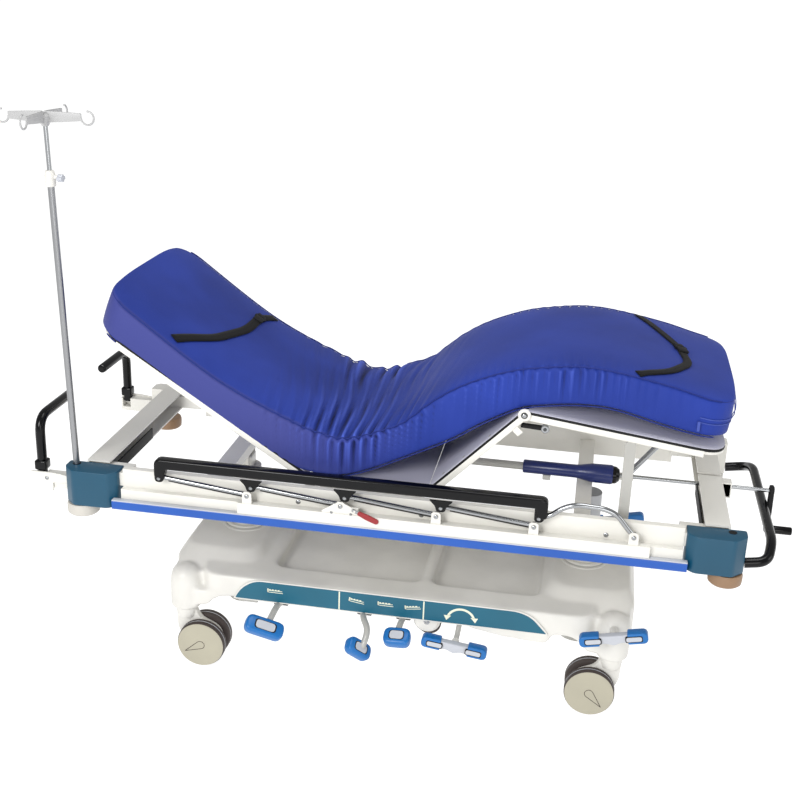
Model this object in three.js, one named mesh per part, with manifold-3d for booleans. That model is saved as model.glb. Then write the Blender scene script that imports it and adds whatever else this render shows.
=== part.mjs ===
// Hydraulic stretcher trolley, built as an assembly of separate sub-parts.
// Millimetres, +Z up, +X from the head end to the foot end, -Y is the side with the pedals.
import * as THREE from 'three';
import { mergeVertices } from 'three/addons/utils/BufferGeometryUtils.js';
import Module from 'manifold-3d';

const wasm = await Module();
wasm.setup();

// ---------------------------------------------------------------- driving dimensions
const GAP = 0.4; // running or seating gap between two pieces

// running gear
const WHEEL_RADIUS = 75;
const WHEEL_INNER = 15; // inner face of each twin wheel from the caster's middle plane
const WHEEL_OUTER = 47;
const AXLE_RADIUS = 7;
const SWIVEL_X = 655;
const SWIVEL_Y = 290;
const TRAIL = 56;
const SWIVEL_STEM_RADIUS = 12;
const FIFTH_WHEEL = { x: 70, z: 54, radius: 40, halfWidth: 13 };

// base cover and chassis
const SKIRT_BOTTOM = 246;
const SKIRT_TOP = 322;
const SKIRT_HALF_LENGTH = 600;
const SKIRT_HALF_WIDTH = 330;
const HUMP = { inner: 440, outer: 712, halfWidth: 235, top: 345, corner: 80 };
const NOSES = [{ halfWidth: 235, bottom: 205, corner: 80 }, { halfWidth: 158, bottom: 148, corner: 30 }];
const DOME = { radius: 50, bottom: 186, top: 328 };
const COVER_WALL = 5;
const TRAYS = [[-388, 62], [98, 425]];
const TRAY_HALF_WIDTH = 222;
const TRAY_FLOOR = 275;
const CHASSIS_Z = [249, 285];
const CHASSIS_RAIL_Y = [252, 288];

// lifting columns
const COLUMN_X = 550;
const SLEEVE = { outer: 62, inner: 52, bottom: 80, top: 338, collar: 68, collarTop: 346 };
const HEAD_COLUMN = { radius: 48, bottom: 110, top: 548 };
const FOOT_STAGE = { outer: 48, inner: 39, bottom: 110, top: 430 };
const FOOT_COLUMN = { radius: 36, bottom: 190, top: 576 };
const TILT_AXIS_Z = 575;

// top frame
const BEAM_HALF_LENGTH = 812;
const BEAM_WEB_Y = [355, 365];
const BEAM_Z = [598, 660];
const LIP_Y = [378, 384];
const LIP_Z = [545, 603];
const CROSS_BEAM_X = [868, 938];
const SHEET = 5;
const CORNER_X = [[-990, -826], [818, 982]];
// the near corners carry a moulded cover, the far ones a low bracket
const CORNERS = {
  near: { y: [325, 400], z: [543, 652], chamfer: 34 },
  far: { y: [325, 384], z: [596, 650], chamfer: 12 },
};
const GUSSET = { x: [800, 938], y: [290, 362], z: [604, 645] };
const POLE_SOCKET_X = [-962, 942];
const POLE_Y = 345;
const BUMPER_DISC = { inset: 46, y: 354, radius: 46, bottom: 512, top: 537 };
const STRIP_Y = [384.4, 402];
const STRIP_Z = [543, 573];

// push handles and infusion pole
const HANDLE = { x: -1079, y: 330, hingeZ: 595, top: 782, inner: 122, radius: 14 };
const PUSH_BAR = { endY: 340, endZ: 562, outerX: 1063, outerY: 268, outerZ: 600, radius: 14 };
const POLE = { outer: 9.5, inner: 7.4, bottom: 616, top: 1496, rod: 6, rodBottom: 1010, hub: 1657 };
const POLE_LEAN = 1.5; // degrees towards the head
const CLAMP_Z = [1476, 1518];
const HOOK_REACH = 102;

// deck
const DECK_Z = 672; // height of the hinge axes of the back and thigh sections
const BOARD = [-8, 8]; // bottom and top of a section's board about its hinge plane
const DECK_HALF_WIDTH = 320;
const DECK_RAIL = { width: 26, bottom: -12 };
const DECK_CLEARANCE = 12; // from a hinge axis to the edge of the board
const BACK = { hingeX: -262, length: 735, angle: 32.5 };
const THIGH = { hingeX: 92, length: 363, angle: 46 };
const CALF = { length: 560, slope: 7 };
const MATTRESS = { thickness: 108, halfWidth: 292, clearance: 2 };

// side guards
const GUARD_PITCH = 275;
const GUARD_FIRST_X = -426;
const GUARD_LOW_Z = 630;
const GUARD_REACH = [263, 28]; // from a lower pivot to its upper pivot: towards the head, and up
const GUARD_BAR_Y = [379, 391];
const GUARD_PLATE_Y = [392.5, 397.5];
const GUARD_RAIL = { x: [-700, 434], y: [366, 402], z: [676, 717] };
const GUARD_BASE = { x: [-454, 721], y: [383, 400], z: [574, 607] };
const GUARD_BAR_HALF = 8;
const GUARD_PIN = 5;
const LEVER = { x: -108, z: 622, length: 74, y: [401, 406], droop: 22 };

// knee crank and backrest strut
const SCREW = { y: 0, z: 640 };
const CRANK = { armX: [1080, 1088], armDrop: 127, gripEnd: 1164 };
const LINK = { x: 658, z: 630, endX: 820, endZ: 846 };
const PROP = { x: 642, z: 866, length: 226, y: [-318, -312] };
const STRUT = { baseX: -300, baseZ: 545, y: 150, headX: -474, headZ: 760, cylinder: 195, rodStart: 75 };

const radians = THREE.MathUtils.degToRad;
const SIDES = { near: -1, far: 1 };
const ENDS = { head: -1, foot: 1 };

// ---------------------------------------------------------------- materials
const finish = (color, roughness, metalness) =>
  new THREE.MeshStandardMaterial({ color, roughness, metalness });

const whitePaint = finish(0xf1efea, 0.4, 0.1);
const whitePlastic = finish(0xeceae5, 0.5, 0);
const greyPaint = finish(0xb9b8b4, 0.5, 0.2);
const darkSteel = finish(0x3a3b3d, 0.5, 0.6);
const teal = finish(0x20647d, 0.45, 0);
const bluePlastic = finish(0x3b8ccc, 0.4, 0);
const stripBlue = finish(0x3f7dd6, 0.45, 0);
const black = finish(0x151517, 0.35, 0.1);
const stainless = finish(0xb9bbbd, 0.3, 0.9);
const wheelGrey = finish(0xbdb8a5, 0.6, 0);
const boardGrey = finish(0xc9c8d0, 0.5, 0);
const fabric = finish(0x3c4ba0, 0.8, 0);
const red = finish(0x9c1c1c, 0.5, 0);
const navy = finish(0x233a90, 0.35, 0.1);

// ---------------------------------------------------------------- geometry helpers
const X_AXIS = new THREE.Vector3(1, 0, 0);
const Y_AXIS = new THREE.Vector3(0, 1, 0);
const Z_AXIS = new THREE.Vector3(0, 0, 1);

/** Keep only positions, with shared vertices merged. */
function bare(geometry) {
  geometry.deleteAttribute('normal');
  geometry.deleteAttribute('uv');
  return mergeVertices(geometry, 1e-4);
}

function toSolid(geometry) {
  const merged = bare(geometry.clone());
  const mesh = new wasm.Mesh({
    numProp: 3,
    vertProperties: new Float32Array(merged.attributes.position.array),
    triVerts: new Uint32Array(merged.index.array),
  });
  return new wasm.Manifold(mesh);
}

function toGeometry(solid) {
  const mesh = solid.getMesh();
  const geometry = new THREE.BufferGeometry();
  geometry.setAttribute('position', new THREE.BufferAttribute(mesh.vertProperties, 3));
  geometry.setIndex(new THREE.BufferAttribute(mesh.triVerts, 1));
  return geometry;
}

/** Join the first list of geometries and cut the second list away. */
function carve(joined, cuts = []) {
  let solid = joined.map(toSolid).reduce((a, b) => a.add(b));
  for (const cut of cuts) solid = solid.subtract(toSolid(cut));
  return toGeometry(solid);
}

const sorted = (a, b) => (a < b ? [a, b] : [b, a]);
/** The range on one side or end: [10, 20] becomes [-20, -10] for sign -1. */
const mirrored = (range, sign) => sorted(range[0] * sign, range[1] * sign);
const grow = (range, by) => [range[0] - by, range[1] + by];

function block(x, y, z) {
  const geometry = new THREE.BoxGeometry(x[1] - x[0], y[1] - y[0], z[1] - z[0]);
  return geometry.translate((x[0] + x[1]) / 2, (y[0] + y[1]) / 2, (z[0] + z[1]) / 2);
}

/** Round bar or disc along an axis from one place to another. */
function rod(axis, radius, from, to, at, sides = 16) {
  const geometry = new THREE.CylinderGeometry(radius, radius, Math.abs(to - from), sides);
  if (axis === 'x') geometry.rotateZ(Math.PI / 2);
  if (axis === 'z') geometry.rotateX(Math.PI / 2);
  const middle = (from + to) / 2;
  const place = { x: [middle, at[0], at[1]], y: [at[0], middle, at[1]], z: [at[0], at[1], middle] };
  return geometry.translate(...place[axis]);
}

/** Turned shape about the Z axis: profile points are [radius, z]. */
function turned(profile, sides = 24) {
  const points = profile.map(([r, z]) => new THREE.Vector2(r, z));
  return new THREE.LatheGeometry(points, sides).rotateX(Math.PI / 2);
}

function shapeOf(points) {
  return new THREE.Shape(points.map(([a, b]) => new THREE.Vector2(a, b)));
}

/** Rectangle with round corners as a shape. */
function roundedRectangle(a, b, radius) {
  const shape = new THREE.Shape();
  const quarter = Math.PI / 2;
  shape.absarc(a[1] - radius, b[1] - radius, radius, 0, quarter);
  shape.absarc(a[0] + radius, b[1] - radius, radius, quarter, 2 * quarter);
  shape.absarc(a[0] + radius, b[0] + radius, radius, 2 * quarter, 3 * quarter);
  shape.absarc(a[1] - radius, b[0] + radius, radius, 3 * quarter, 4 * quarter);
  shape.closePath();
  return shape;
}

/** Half-round outline: square at its inner end, with round corners at its outer end. */
function noseShape(inner, outer, halfWidth, corner) {
  const shape = new THREE.Shape();
  shape.moveTo(inner, -halfWidth);
  shape.absarc(outer - corner, corner - halfWidth, corner, -Math.PI / 2, 0);
  shape.absarc(outer - corner, halfWidth - corner, corner, 0, Math.PI / 2);
  shape.lineTo(inner, halfWidth);
  shape.closePath();
  return shape;
}

const flat = (shape, depth, curveSegments) =>
  new THREE.ExtrudeGeometry(shape, { depth, bevelEnabled: false, curveSegments });

/** Outline in plan, extruded over a height range. */
const inPlan = (shape, z, segments = 2) => flat(shape, z[1] - z[0], segments).translate(0, 0, z[0]);

/** Outline in side view (x, z), extruded over a Y range. */
function inSide(shape, y, segments = 2) {
  const basis = new THREE.Matrix4().makeBasis(X_AXIS, Z_AXIS, Y_AXIS.clone().negate());
  return flat(shape, y[1] - y[0], segments).applyMatrix4(basis).translate(0, y[1], 0);
}

/** Outline in end view (y, z), extruded over an X range. */
function inEnd(shape, x, segments = 2) {
  const basis = new THREE.Matrix4().makeBasis(Y_AXIS, Z_AXIS, X_AXIS);
  return flat(shape, x[1] - x[0], segments).applyMatrix4(basis).translate(x[0], 0, 0);
}

/** Path through points with its inner corners rounded. */
function roundedPath(points, radius) {
  const corners = points.map((p) => new THREE.Vector3(...p));
  const path = new THREE.CurvePath();
  let start = corners[0];
  for (let i = 1; i < corners.length - 1; i += 1) {
    const before = corners[i].clone().sub(corners[i - 1]);
    const after = corners[i + 1].clone().sub(corners[i]);
    const reach = Math.min(radius, before.length() / 2, after.length() / 2);
    const enter = corners[i].clone().addScaledVector(before.normalize(), -reach);
    const leave = corners[i].clone().addScaledVector(after.normalize(), reach);
    path.add(new THREE.LineCurve3(start, enter));
    path.add(new THREE.QuadraticBezierCurve3(enter, corners[i], leave));
    start = leave;
  }
  path.add(new THREE.LineCurve3(start, corners.at(-1)));
  return path;
}

/** Round bar bent along a path. */
function bentBar(points, barRadius, cornerRadius, steps = 16, sides = 4) {
  const section = new THREE.Shape();
  section.absarc(0, 0, barRadius, 0, 2 * Math.PI);
  return new THREE.ExtrudeGeometry(section, {
    steps,
    curveSegments: sides,
    bevelEnabled: false,
    extrudePath: roundedPath(points, cornerRadius),
  });
}

// ---------------------------------------------------------------- assembly helpers
const trolley = new THREE.Group();

function add(name, geometry, material, parent = trolley) {
  const mesh = new THREE.Mesh(bare(geometry), material);
  mesh.name = name;
  parent.add(mesh);
  return mesh;
}

/** A group that turns about the Y axis by an angle in degrees, at a hinge. */
function hingedGroup(parent, x, y, z, angle) {
  const group = new THREE.Group();
  group.position.set(x, y, z);
  group.rotation.y = radians(angle);
  parent.add(group);
  return group;
}

// ---------------------------------------------------------------- casters
function casterFork(end, side) {
  const swivelX = end * SWIVEL_X;
  const swivelY = side * SWIVEL_Y;
  const axleX = end * (SWIVEL_X - TRAIL);
  const thickness = [swivelY - WHEEL_INNER + 3, swivelY + WHEEL_INNER - 3];
  const hood = rod('y', WHEEL_RADIUS - 6, ...thickness, [axleX, WHEEL_RADIUS], 20);
  const neck = block(sorted(axleX, swivelX + end * 26), thickness, [96, 176]);
  const turntable = rod('z', 32, 168, DOME.bottom - 2, [swivelX, swivelY]);
  const stem = rod('z', SWIVEL_STEM_RADIUS, 168, 268, [swivelX, swivelY], 16);
  const below = block([axleX - 90, axleX + 90], grow(thickness, 1), [0, WHEEL_RADIUS - 16]);
  const axleHole = rod('y', AXLE_RADIUS + GAP, ...grow(thickness, 1), [axleX, WHEEL_RADIUS], 16);
  return carve([hood, neck, turntable, stem], [below, axleHole]);
}

function twinWheel() {
  const rim = WHEEL_RADIUS;
  const disc = (from, to) => turned([
    [0, from], [rim - 8, from], [rim, from + Math.sign(to - from) * 7],
    [rim, to - Math.sign(to - from) * 8], [rim - 7, to], [0, to],
  ], 20);
  const outer = disc(WHEEL_INNER, WHEEL_OUTER);
  const inner = disc(WHEEL_INNER, WHEEL_OUTER).rotateX(Math.PI);
  const axle = rod('z', AXLE_RADIUS, -WHEEL_INNER - 1, WHEEL_INNER + 1, [0, 0], 16);
  return carve([outer, inner, axle]).rotateX(Math.PI / 2);
}

for (const [endName, end] of Object.entries(ENDS)) {
  for (const [sideName, side] of Object.entries(SIDES)) {
    add(`caster_fork_${endName}_${sideName}`, casterFork(end, side), whitePlastic);
    const wheel = add(`caster_wheels_${endName}_${sideName}`, twinWheel(), wheelGrey);
    wheel.position.set(end * (SWIVEL_X - TRAIL), side * SWIVEL_Y, WHEEL_RADIUS);
  }
}

// ---------------------------------------------------------------- chassis
function baseChassis() {
  const parts = [];
  const cuts = [];
  for (const side of Object.values(SIDES)) {
    parts.push(block([-620, 620], mirrored(CHASSIS_RAIL_Y, side), CHASSIS_Z));
  }
  for (const end of Object.values(ENDS)) {
    const columnX = end * COLUMN_X;
    const socketX = end * SWIVEL_X;
    parts.push(block(mirrored([590, 622], end), [-290, 290], CHASSIS_Z));
    parts.push(block(mirrored([530, 600], end), [-280, 280], [252, 282]));
    parts.push(rod('z', SLEEVE.outer, SLEEVE.bottom, SLEEVE.top, [columnX, 0], 20));
    parts.push(rod('z', SLEEVE.collar, SLEEVE.top - 0.5 + COVER_WALL + 4, SLEEVE.top + 14, [columnX, 0], 20));
    parts.push(rod('z', SLEEVE.outer, SLEEVE.top - 1, SLEEVE.top + 10, [columnX, 0], 20));
    cuts.push(rod('z', SLEEVE.inner, SLEEVE.bottom + 12, SLEEVE.top + 20, [columnX, 0], 20));
    for (const side of Object.values(SIDES)) {
      const socketY = side * SWIVEL_Y;
      parts.push(rod('z', 24, 200, 285, [socketX, socketY]));
      parts.push(block(sorted(end * 610, socketX), mirrored([262, 286], side), [252, 282]));
      cuts.push(rod('z', SWIVEL_STEM_RADIUS + GAP, 190, 269, [socketX, socketY], 16));
    }
  }
  const { x, z, halfWidth } = FIFTH_WHEEL;
  parts.push(block([x - 24, x + 24], [-280, 280], [250, 264]));
  for (const side of Object.values(SIDES)) {
    const plate = mirrored([halfWidth + 3, halfWidth + 9], side);
    parts.push(block([x - 14, x + 14], plate, [z - 14, 255]));
  }
  parts.push(rod('y', 6, -halfWidth - 9, halfWidth + 9, [x, z], 12));
  return carve(parts, cuts);
}
add('base_chassis', baseChassis(), darkSteel);

function fifthWheel() {
  const { x, z, radius, halfWidth } = FIFTH_WHEEL;
  const tread = rod('y', radius, -halfWidth, halfWidth, [x, z], 24);
  return carve([tread], [rod('y', 6 + GAP, -halfWidth - 1, halfWidth + 1, [x, z], 12)]);
}
add('fifth_wheel', fifthWheel(), wheelGrey);

// ---------------------------------------------------------------- base cover
/** The cover's outer form, or its hollow when inset is the wall thickness. */
function coverForm(inset, drop) {
  const parts = [];
  const skirt = roundedRectangle(
    [-SKIRT_HALF_LENGTH + inset, SKIRT_HALF_LENGTH - inset],
    [-SKIRT_HALF_WIDTH + inset, SKIRT_HALF_WIDTH - inset], 60);
  parts.push(inPlan(skirt, [SKIRT_BOTTOM - drop, SKIRT_TOP - inset]));
  for (const end of Object.values(ENDS)) {
    const humpX = sorted(end * HUMP.inner, end * (HUMP.outer - inset));
    const hump = roundedRectangle(humpX, [-HUMP.halfWidth + inset, HUMP.halfWidth - inset], HUMP.corner);
    parts.push(inPlan(hump, [SKIRT_BOTTOM - drop, HUMP.top - inset]));
    for (const { halfWidth, bottom, corner } of NOSES) {
      const nose = noseShape(590 - inset, HUMP.outer - inset, halfWidth - inset, corner);
      parts.push(inPlan(nose, [bottom - drop, SKIRT_TOP - inset]).rotateZ(end > 0 ? 0 : Math.PI));
    }
    const archX = sorted(end * (SKIRT_HALF_LENGTH - 60), end * (HUMP.outer - 10 - inset));
    parts.push(block(archX, [-SWIVEL_Y, SWIVEL_Y], [NOSES[0].bottom - drop, SKIRT_TOP - 22 - inset]));
    for (const side of Object.values(SIDES)) {
      const radius = DOME.radius - inset;
      const top = DOME.top - inset;
      const dome = turned([
        [0, DOME.bottom - drop], [radius, DOME.bottom - drop], [radius, top - 50],
        [radius * 0.87, top - 22], [radius * 0.5, top - 6], [0, top],
      ], 16);
      parts.push(dome.translate(end * SWIVEL_X, side * SWIVEL_Y, 0));
    }
  }
  return parts;
}

function trayForm(outset) {
  return TRAYS.map((range) => inPlan(
    roundedRectangle(grow(range, outset), [-TRAY_HALF_WIDTH - outset, TRAY_HALF_WIDTH + outset], 40),
    [TRAY_FLOOR - outset, HUMP.top + 20]));
}

function baseCover() {
  const outer = toSolid(carve(coverForm(0, 0), trayForm(0)));
  const hollow = toSolid(carve(coverForm(COVER_WALL, 30), trayForm(COVER_WALL)));
  let cover = outer.subtract(hollow);
  for (const end of Object.values(ENDS)) {
    const opening = rod('z', SLEEVE.outer + 1, 180, HUMP.top + 10, [end * COLUMN_X, 0], 20);
    cover = cover.subtract(toSolid(opening));
  }
  return toGeometry(cover);
}
add('base_cover', baseCover(), whitePlastic);

// ---------------------------------------------------------------- pedals
/** A pedal on a bent stem: the shaft lies along X under the skirt. */
function stemPedal(shaftX, stem, pad) {
  const shaft = rod('x', 8, shaftX - 22, shaftX + 22, [-292, 232], 12);
  const arm = bentBar([[shaftX, -292, 232], ...stem, pad.at], 8, 24, 7);
  const outline = roundedRectangle(
    [-pad.length / 2, pad.length / 2], [-pad.depth / 2, pad.depth / 2], pad.depth / 2 - 1);
  const tread = inPlan(outline, [-pad.height / 2, pad.height / 2]);
  tread.rotateY(radians(pad.roll)).rotateX(radians(pad.pitch)).translate(...pad.at);
  return carve([shaft, arm, tread]);
}

const PUMP_PEDALS = {
  pedal_up: {
    shaftX: -352,
    stem: [[-352, -345, 236]],
    pad: { at: [-367, -430, 216], length: 118, depth: 46, height: 30, roll: 14, pitch: 12 },
  },
  pedal_down_head: {
    shaftX: -92,
    stem: [[-92, -340, 240], [-70, -395, 232]],
    pad: { at: [-84, -426, 184], length: 76, depth: 46, height: 28, roll: 42, pitch: 20 },
  },
  pedal_down_foot: {
    shaftX: 28,
    stem: [[28, -345, 238]],
    pad: { at: [30, -410, 218], length: 80, depth: 50, height: 32, roll: -4, pitch: 12 },
  },
};
for (const [name, { shaftX, stem, pad }] of Object.entries(PUMP_PEDALS)) {
  add(name, stemPedal(shaftX, stem, pad), bluePlastic);
}

/** A rocker with a pad at each end, turning about a short shaft along Y. */
function rockerPedal(x, y, z, side, tilt, hubLength) {
  const outline = roundedRectangle([-100, 100], [-17, 17], 15);
  const bar = inSide(outline, sorted(side * 0, side * 34)).rotateY(radians(tilt));
  const hub = rod('y', 11, 0, -side * hubLength, [0, 0], 14);
  return carve([bar, hub]).translate(x, y, z);
}
const STEER = { x: 195, y: -362, z: 208 };
const BRAKE = { x: SWIVEL_X - 5, y: 372, z: 305, tilt: -14 };
const steerStem = bentBar([[0, 10, 0], [0, 30, 6], [6, 60, 48]], 8, 24, 7);
const steerRocker = carve([rockerPedal(0, 0, 0, -1, 3, 14), steerStem]);
add('pedal_steer', steerRocker.translate(STEER.x, STEER.y, STEER.z), bluePlastic);
for (const [sideName, side] of Object.entries(SIDES)) {
  const pedal = rockerPedal(BRAKE.x, side * BRAKE.y, BRAKE.z, side, BRAKE.tilt, 31);
  add(`pedal_brake_${sideName}`, pedal, bluePlastic);
}

// ---------------------------------------------------------------- lifting columns
function headColumn() {
  const { radius, bottom, top } = HEAD_COLUMN;
  const tube = rod('z', radius, bottom, top, [-COLUMN_X, 0], 20);
  const tang = block([-COLUMN_X - 26, -COLUMN_X + 26], [-30, 30], [top - 1, TILT_AXIS_Z]);
  const eye = rod('y', 14, -30, 30, [-COLUMN_X, TILT_AXIS_Z], 16);
  return carve([tube, tang, eye], [rod('y', 6 + GAP, -31, 31, [-COLUMN_X, TILT_AXIS_Z], 12)]);
}
add('column_head', headColumn(), whitePaint);

function footStage() {
  const { outer, inner, bottom, top } = FOOT_STAGE;
  const tube = rod('z', outer, bottom, top, [COLUMN_X, 0], 20);
  return carve([tube], [rod('z', inner, bottom + 10, top + 1, [COLUMN_X, 0], 20)]);
}
add('column_stage_foot', footStage(), whitePaint);
const footColumn = rod('z', FOOT_COLUMN.radius, FOOT_COLUMN.bottom, FOOT_COLUMN.top, [COLUMN_X, 0], 20);
add('column_foot', footColumn, stainless);

// ---------------------------------------------------------------- top frame
function sideBeam(side) {
  const length = [-BEAM_HALF_LENGTH, BEAM_HALF_LENGTH];
  return [
    block(length, mirrored(BEAM_WEB_Y, side), BEAM_Z),
    block(length, mirrored([344, 364], side), [BEAM_Z[1] - SHEET, BEAM_Z[1]]),
    block(length, mirrored([356, LIP_Y[1]], side), [BEAM_Z[0], LIP_Z[1]]),
    block(length, mirrored(LIP_Y, side), LIP_Z),
    block(GUARD_BASE.x, mirrored(GUARD_BASE.y, side), GUARD_BASE.z),
  ];
}

function guardBrackets(side) {
  const parts = [];
  for (let i = 0; i < 5; i += 1) {
    const x = GUARD_FIRST_X + i * GUARD_PITCH;
    const foot = i === 1 ? 40 : 0;
    const plate = shapeOf([
      [x - 14 - foot, 600], [x + 14 + 1.4 * foot, 600], [x + 14 + 1.4 * foot, 612], [x + 13, GUARD_LOW_Z + 8],
      [x + 7, GUARD_LOW_Z + 13], [x - 7, GUARD_LOW_Z + 13], [x - 13, GUARD_LOW_Z + 8], [x - 14 - foot, 612],
    ]);
    parts.push(inSide(plate, mirrored(GUARD_PLATE_Y, side)));
    parts.push(rod('y', GUARD_PIN, side * 377, side * 400, [x, GUARD_LOW_Z], 8));
  }
  parts.push(rod('y', 3, side * 394, side * 407, [LEVER.x, LEVER.z], 8));
  parts.push(block([LEVER.x - 9, LEVER.x + 9], mirrored(GUARD_PLATE_Y, side), [604, LEVER.z + 8]));
  return parts;
}

function crossBeam(end) {
  const [inner, outer] = CROSS_BEAM_X;
  const section = shapeOf([
    [inner, BEAM_Z[0] + 2], [outer, BEAM_Z[0] + 2], [outer, BEAM_Z[1]], [inner, BEAM_Z[1]],
    [inner, BEAM_Z[1] - SHEET], [outer - SHEET, BEAM_Z[1] - SHEET],
    [outer - SHEET, BEAM_Z[0] + 2 + SHEET], [inner, BEAM_Z[0] + 2 + SHEET],
  ]);
  const beam = inSide(section, [-CORNERS.near.y[0] + GAP, CORNERS.far.y[0] - GAP]);
  return end > 0 ? beam : beam.rotateZ(Math.PI);
}

function handleBracket(side) {
  const y = mirrored([HANDLE.y - 15, HANDLE.y + 15], side);
  const { x, hingeZ } = HANDLE;
  const ear = (from) => block([from, from + 6], y, [hingeZ - 20, hingeZ + 14]);
  return [
    block([x - 20, -930], y, [hingeZ - 30, hingeZ - 17]),
    block([x + 14, -930], y, [hingeZ - 20, hingeZ + 14]),
    ear(x - 20),
    ear(x + 14),
    rod('x', 4.5, x - 20, x + 20, [side * HANDLE.y, hingeZ], 10),
  ];
}

function topFrame() {
  const parts = [];
  const cuts = [];
  for (const side of Object.values(SIDES)) {
    parts.push(...sideBeam(side), ...guardBrackets(side), ...handleBracket(side));
    for (const end of Object.values(ENDS)) {
      parts.push(block(mirrored(GUSSET.x, end), mirrored(GUSSET.y, side), GUSSET.z));
    }
    parts.push(block([-COLUMN_X - 20, -COLUMN_X + 20], mirrored([32, 40], side), [560, 612]));
  }
  parts.push(block([STRUT.baseX - 10, STRUT.baseX + 38], [STRUT.y + 12, STRUT.y + 17], [533, 612]));
  for (const end of Object.values(ENDS)) parts.push(crossBeam(end));
  parts.push(block([-COLUMN_X - 28, -COLUMN_X + 28], [-360, 360], [604, 636]));
  parts.push(block([COLUMN_X - 45, COLUMN_X + 3], [-360, 360], [585, 606]));
  parts.push(block([STRUT.baseX + 14, STRUT.baseX + 44], [-360, 360], [604, 628]));
  parts.push(rod('y', 6, -40, 40, [-COLUMN_X, TILT_AXIS_Z], 12));
  parts.push(block([THIGH.hingeX - 60, THIGH.hingeX - 24], [-360, 360], [612, 640]));
  const seatX = [BACK.hingeX + DECK_CLEARANCE, THIGH.hingeX - DECK_CLEARANCE];
  const seatZ = [DECK_Z + BOARD[0], DECK_Z + BOARD[1]];
  parts.push(block(seatX, [-DECK_HALF_WIDTH, DECK_HALF_WIDTH], seatZ));
  for (const side of Object.values(SIDES)) {
    parts.push(block(grow(seatX, -20), mirrored([300, 318], side), [606, DECK_Z]));
  }
  parts.push(block([930, 966], [-18, 18], [SCREW.z - 30, SCREW.z + 18]));
  cuts.push(rod('x', 12, 900, 980, [SCREW.y, SCREW.z], 16));
  cuts.push(block([860, 960], [SCREW.y + 24, SCREW.y + 42], [618, BEAM_Z[1] + 1]));
  cuts.push(block([COLUMN_X - 50, COLUMN_X + 10], [-332, -298], [594, 610]));
  return carve(parts, cuts);
}
add('top_frame', topFrame(), whitePaint);

const poleX = POLE_SOCKET_X[0];

/** Leans a piece of the infusion pole towards the head, about the pole's foot. */
function leaned(geometry) {
  return geometry
    .translate(-poleX, 0, -POLE.bottom)
    .rotateY(radians(-POLE_LEAN))
    .translate(poleX, 0, POLE.bottom);
}

/** A corner cover, or on the far side a plain bracket, with the bumper disc under it. */
function cornerCover(endIndex, side, { y, z, chamfer }) {
  const [x0, x1] = CORNER_X[endIndex];
  const end = endIndex === 0 ? -1 : 1;
  const y0 = side * y[0];
  const y1 = side * y[1];
  const outerX = end < 0 ? x0 : x1;
  const innerX = end < 0 ? x1 : x0;
  const outline = [
    [innerX, y0], [outerX, y0], [outerX, y1 - side * chamfer],
    [outerX - end * chamfer, y1], [innerX + end * 10, y1], [innerX, y1 - side * 10],
  ];
  if (end * side < 0) outline.reverse();
  const discX = outerX - end * BUMPER_DISC.inset;
  const body = inPlan(shapeOf(outline), z);
  const discAt = [discX, side * BUMPER_DISC.y];
  const disc = rod('z', BUMPER_DISC.radius, BUMPER_DISC.bottom, BUMPER_DISC.top, discAt, 18);
  const neck = rod('z', 14, BUMPER_DISC.bottom + 5, z[0] + 2, discAt, 12);
  const parts = [body, disc, neck];
  if (end > 0 && side > 0) {
    parts.push(block([x1 - 24, x1], [y[0], y[1]], [545, z[0] + 2]));
  }
  const gussetX = mirrored([GUSSET.x[0] - 5, GUSSET.x[1] + GAP], end);
  const cuts = [block(gussetX, grow(mirrored(GUSSET.y, side), GAP), grow(GUSSET.z, GAP))];
  if (side < 0) {
    const socketAt = [POLE_SOCKET_X[endIndex], -POLE_Y];
    const socket = rod('z', POLE.outer + GAP, POLE.bottom - 4, z[1] + 9, socketAt, 16);
    cuts.push(end < 0 ? leaned(socket) : socket);
  }
  if (end < 0) {
    const handleY = grow(mirrored([HANDLE.y - 15, HANDLE.y + 15], side), GAP);
    const handleZ = grow([HANDLE.hingeZ - 30, HANDLE.hingeZ + 14], GAP);
    cuts.push(block([x0 - 1, -CROSS_BEAM_X[1] + 10], handleY, handleZ));
  }
  return carve(parts, cuts);
}
for (const [endIndex, endName] of Object.keys(ENDS).entries()) {
  for (const [sideName, side] of Object.entries(SIDES)) {
    const cover = cornerCover(endIndex, side, CORNERS[sideName]);
    add(`corner_cover_${endName}_${sideName}`, cover, side < 0 ? teal : whitePaint);
  }
}

function bumperStrip(side) {
  const [inner, outer] = STRIP_Y.map((y) => y * side);
  const [bottom, top] = STRIP_Z;
  const outline = [
    [inner, bottom], [outer - side * 4, bottom], [outer, bottom + 6],
    [outer, top - 6], [outer - side * 4, top], [inner, top],
  ];
  if (side < 0) outline.reverse();
  const inset = side < 0 ? GAP : 30;
  return inEnd(shapeOf(outline), [CORNER_X[0][1] + inset, CORNER_X[1][0] - inset]);
}
for (const [sideName, side] of Object.entries(SIDES)) {
  add(`bumper_strip_${sideName}`, bumperStrip(side), stripBlue);
}

// ---------------------------------------------------------------- push handles
function headHandle(side) {
  const { x, y, hingeZ, top, inner, radius } = HANDLE;
  const path = [[x, side * y, hingeZ + 12], [x, side * y, top], [x, side * inner, top]];
  const grip = bentBar(path, radius, 56, 14, 5);
  const collar = rod('z', 17, hingeZ + 21, hingeZ + 45, [x, side * y], 16);
  const tang = block([x - 12, x + 12], mirrored([y - 11, y + 11], side), [hingeZ, hingeZ + 30]);
  const knuckle = rod('x', 11, x - 12, x + 12, [side * y, hingeZ], 14);
  return carve([grip, collar, tang, knuckle], [rod('x', 5, x - 14, x + 14, [side * y, hingeZ], 10)]);
}
for (const [sideName, side] of Object.entries(SIDES)) {
  add(`head_handle_${sideName}`, headHandle(side), black);
}

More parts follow.
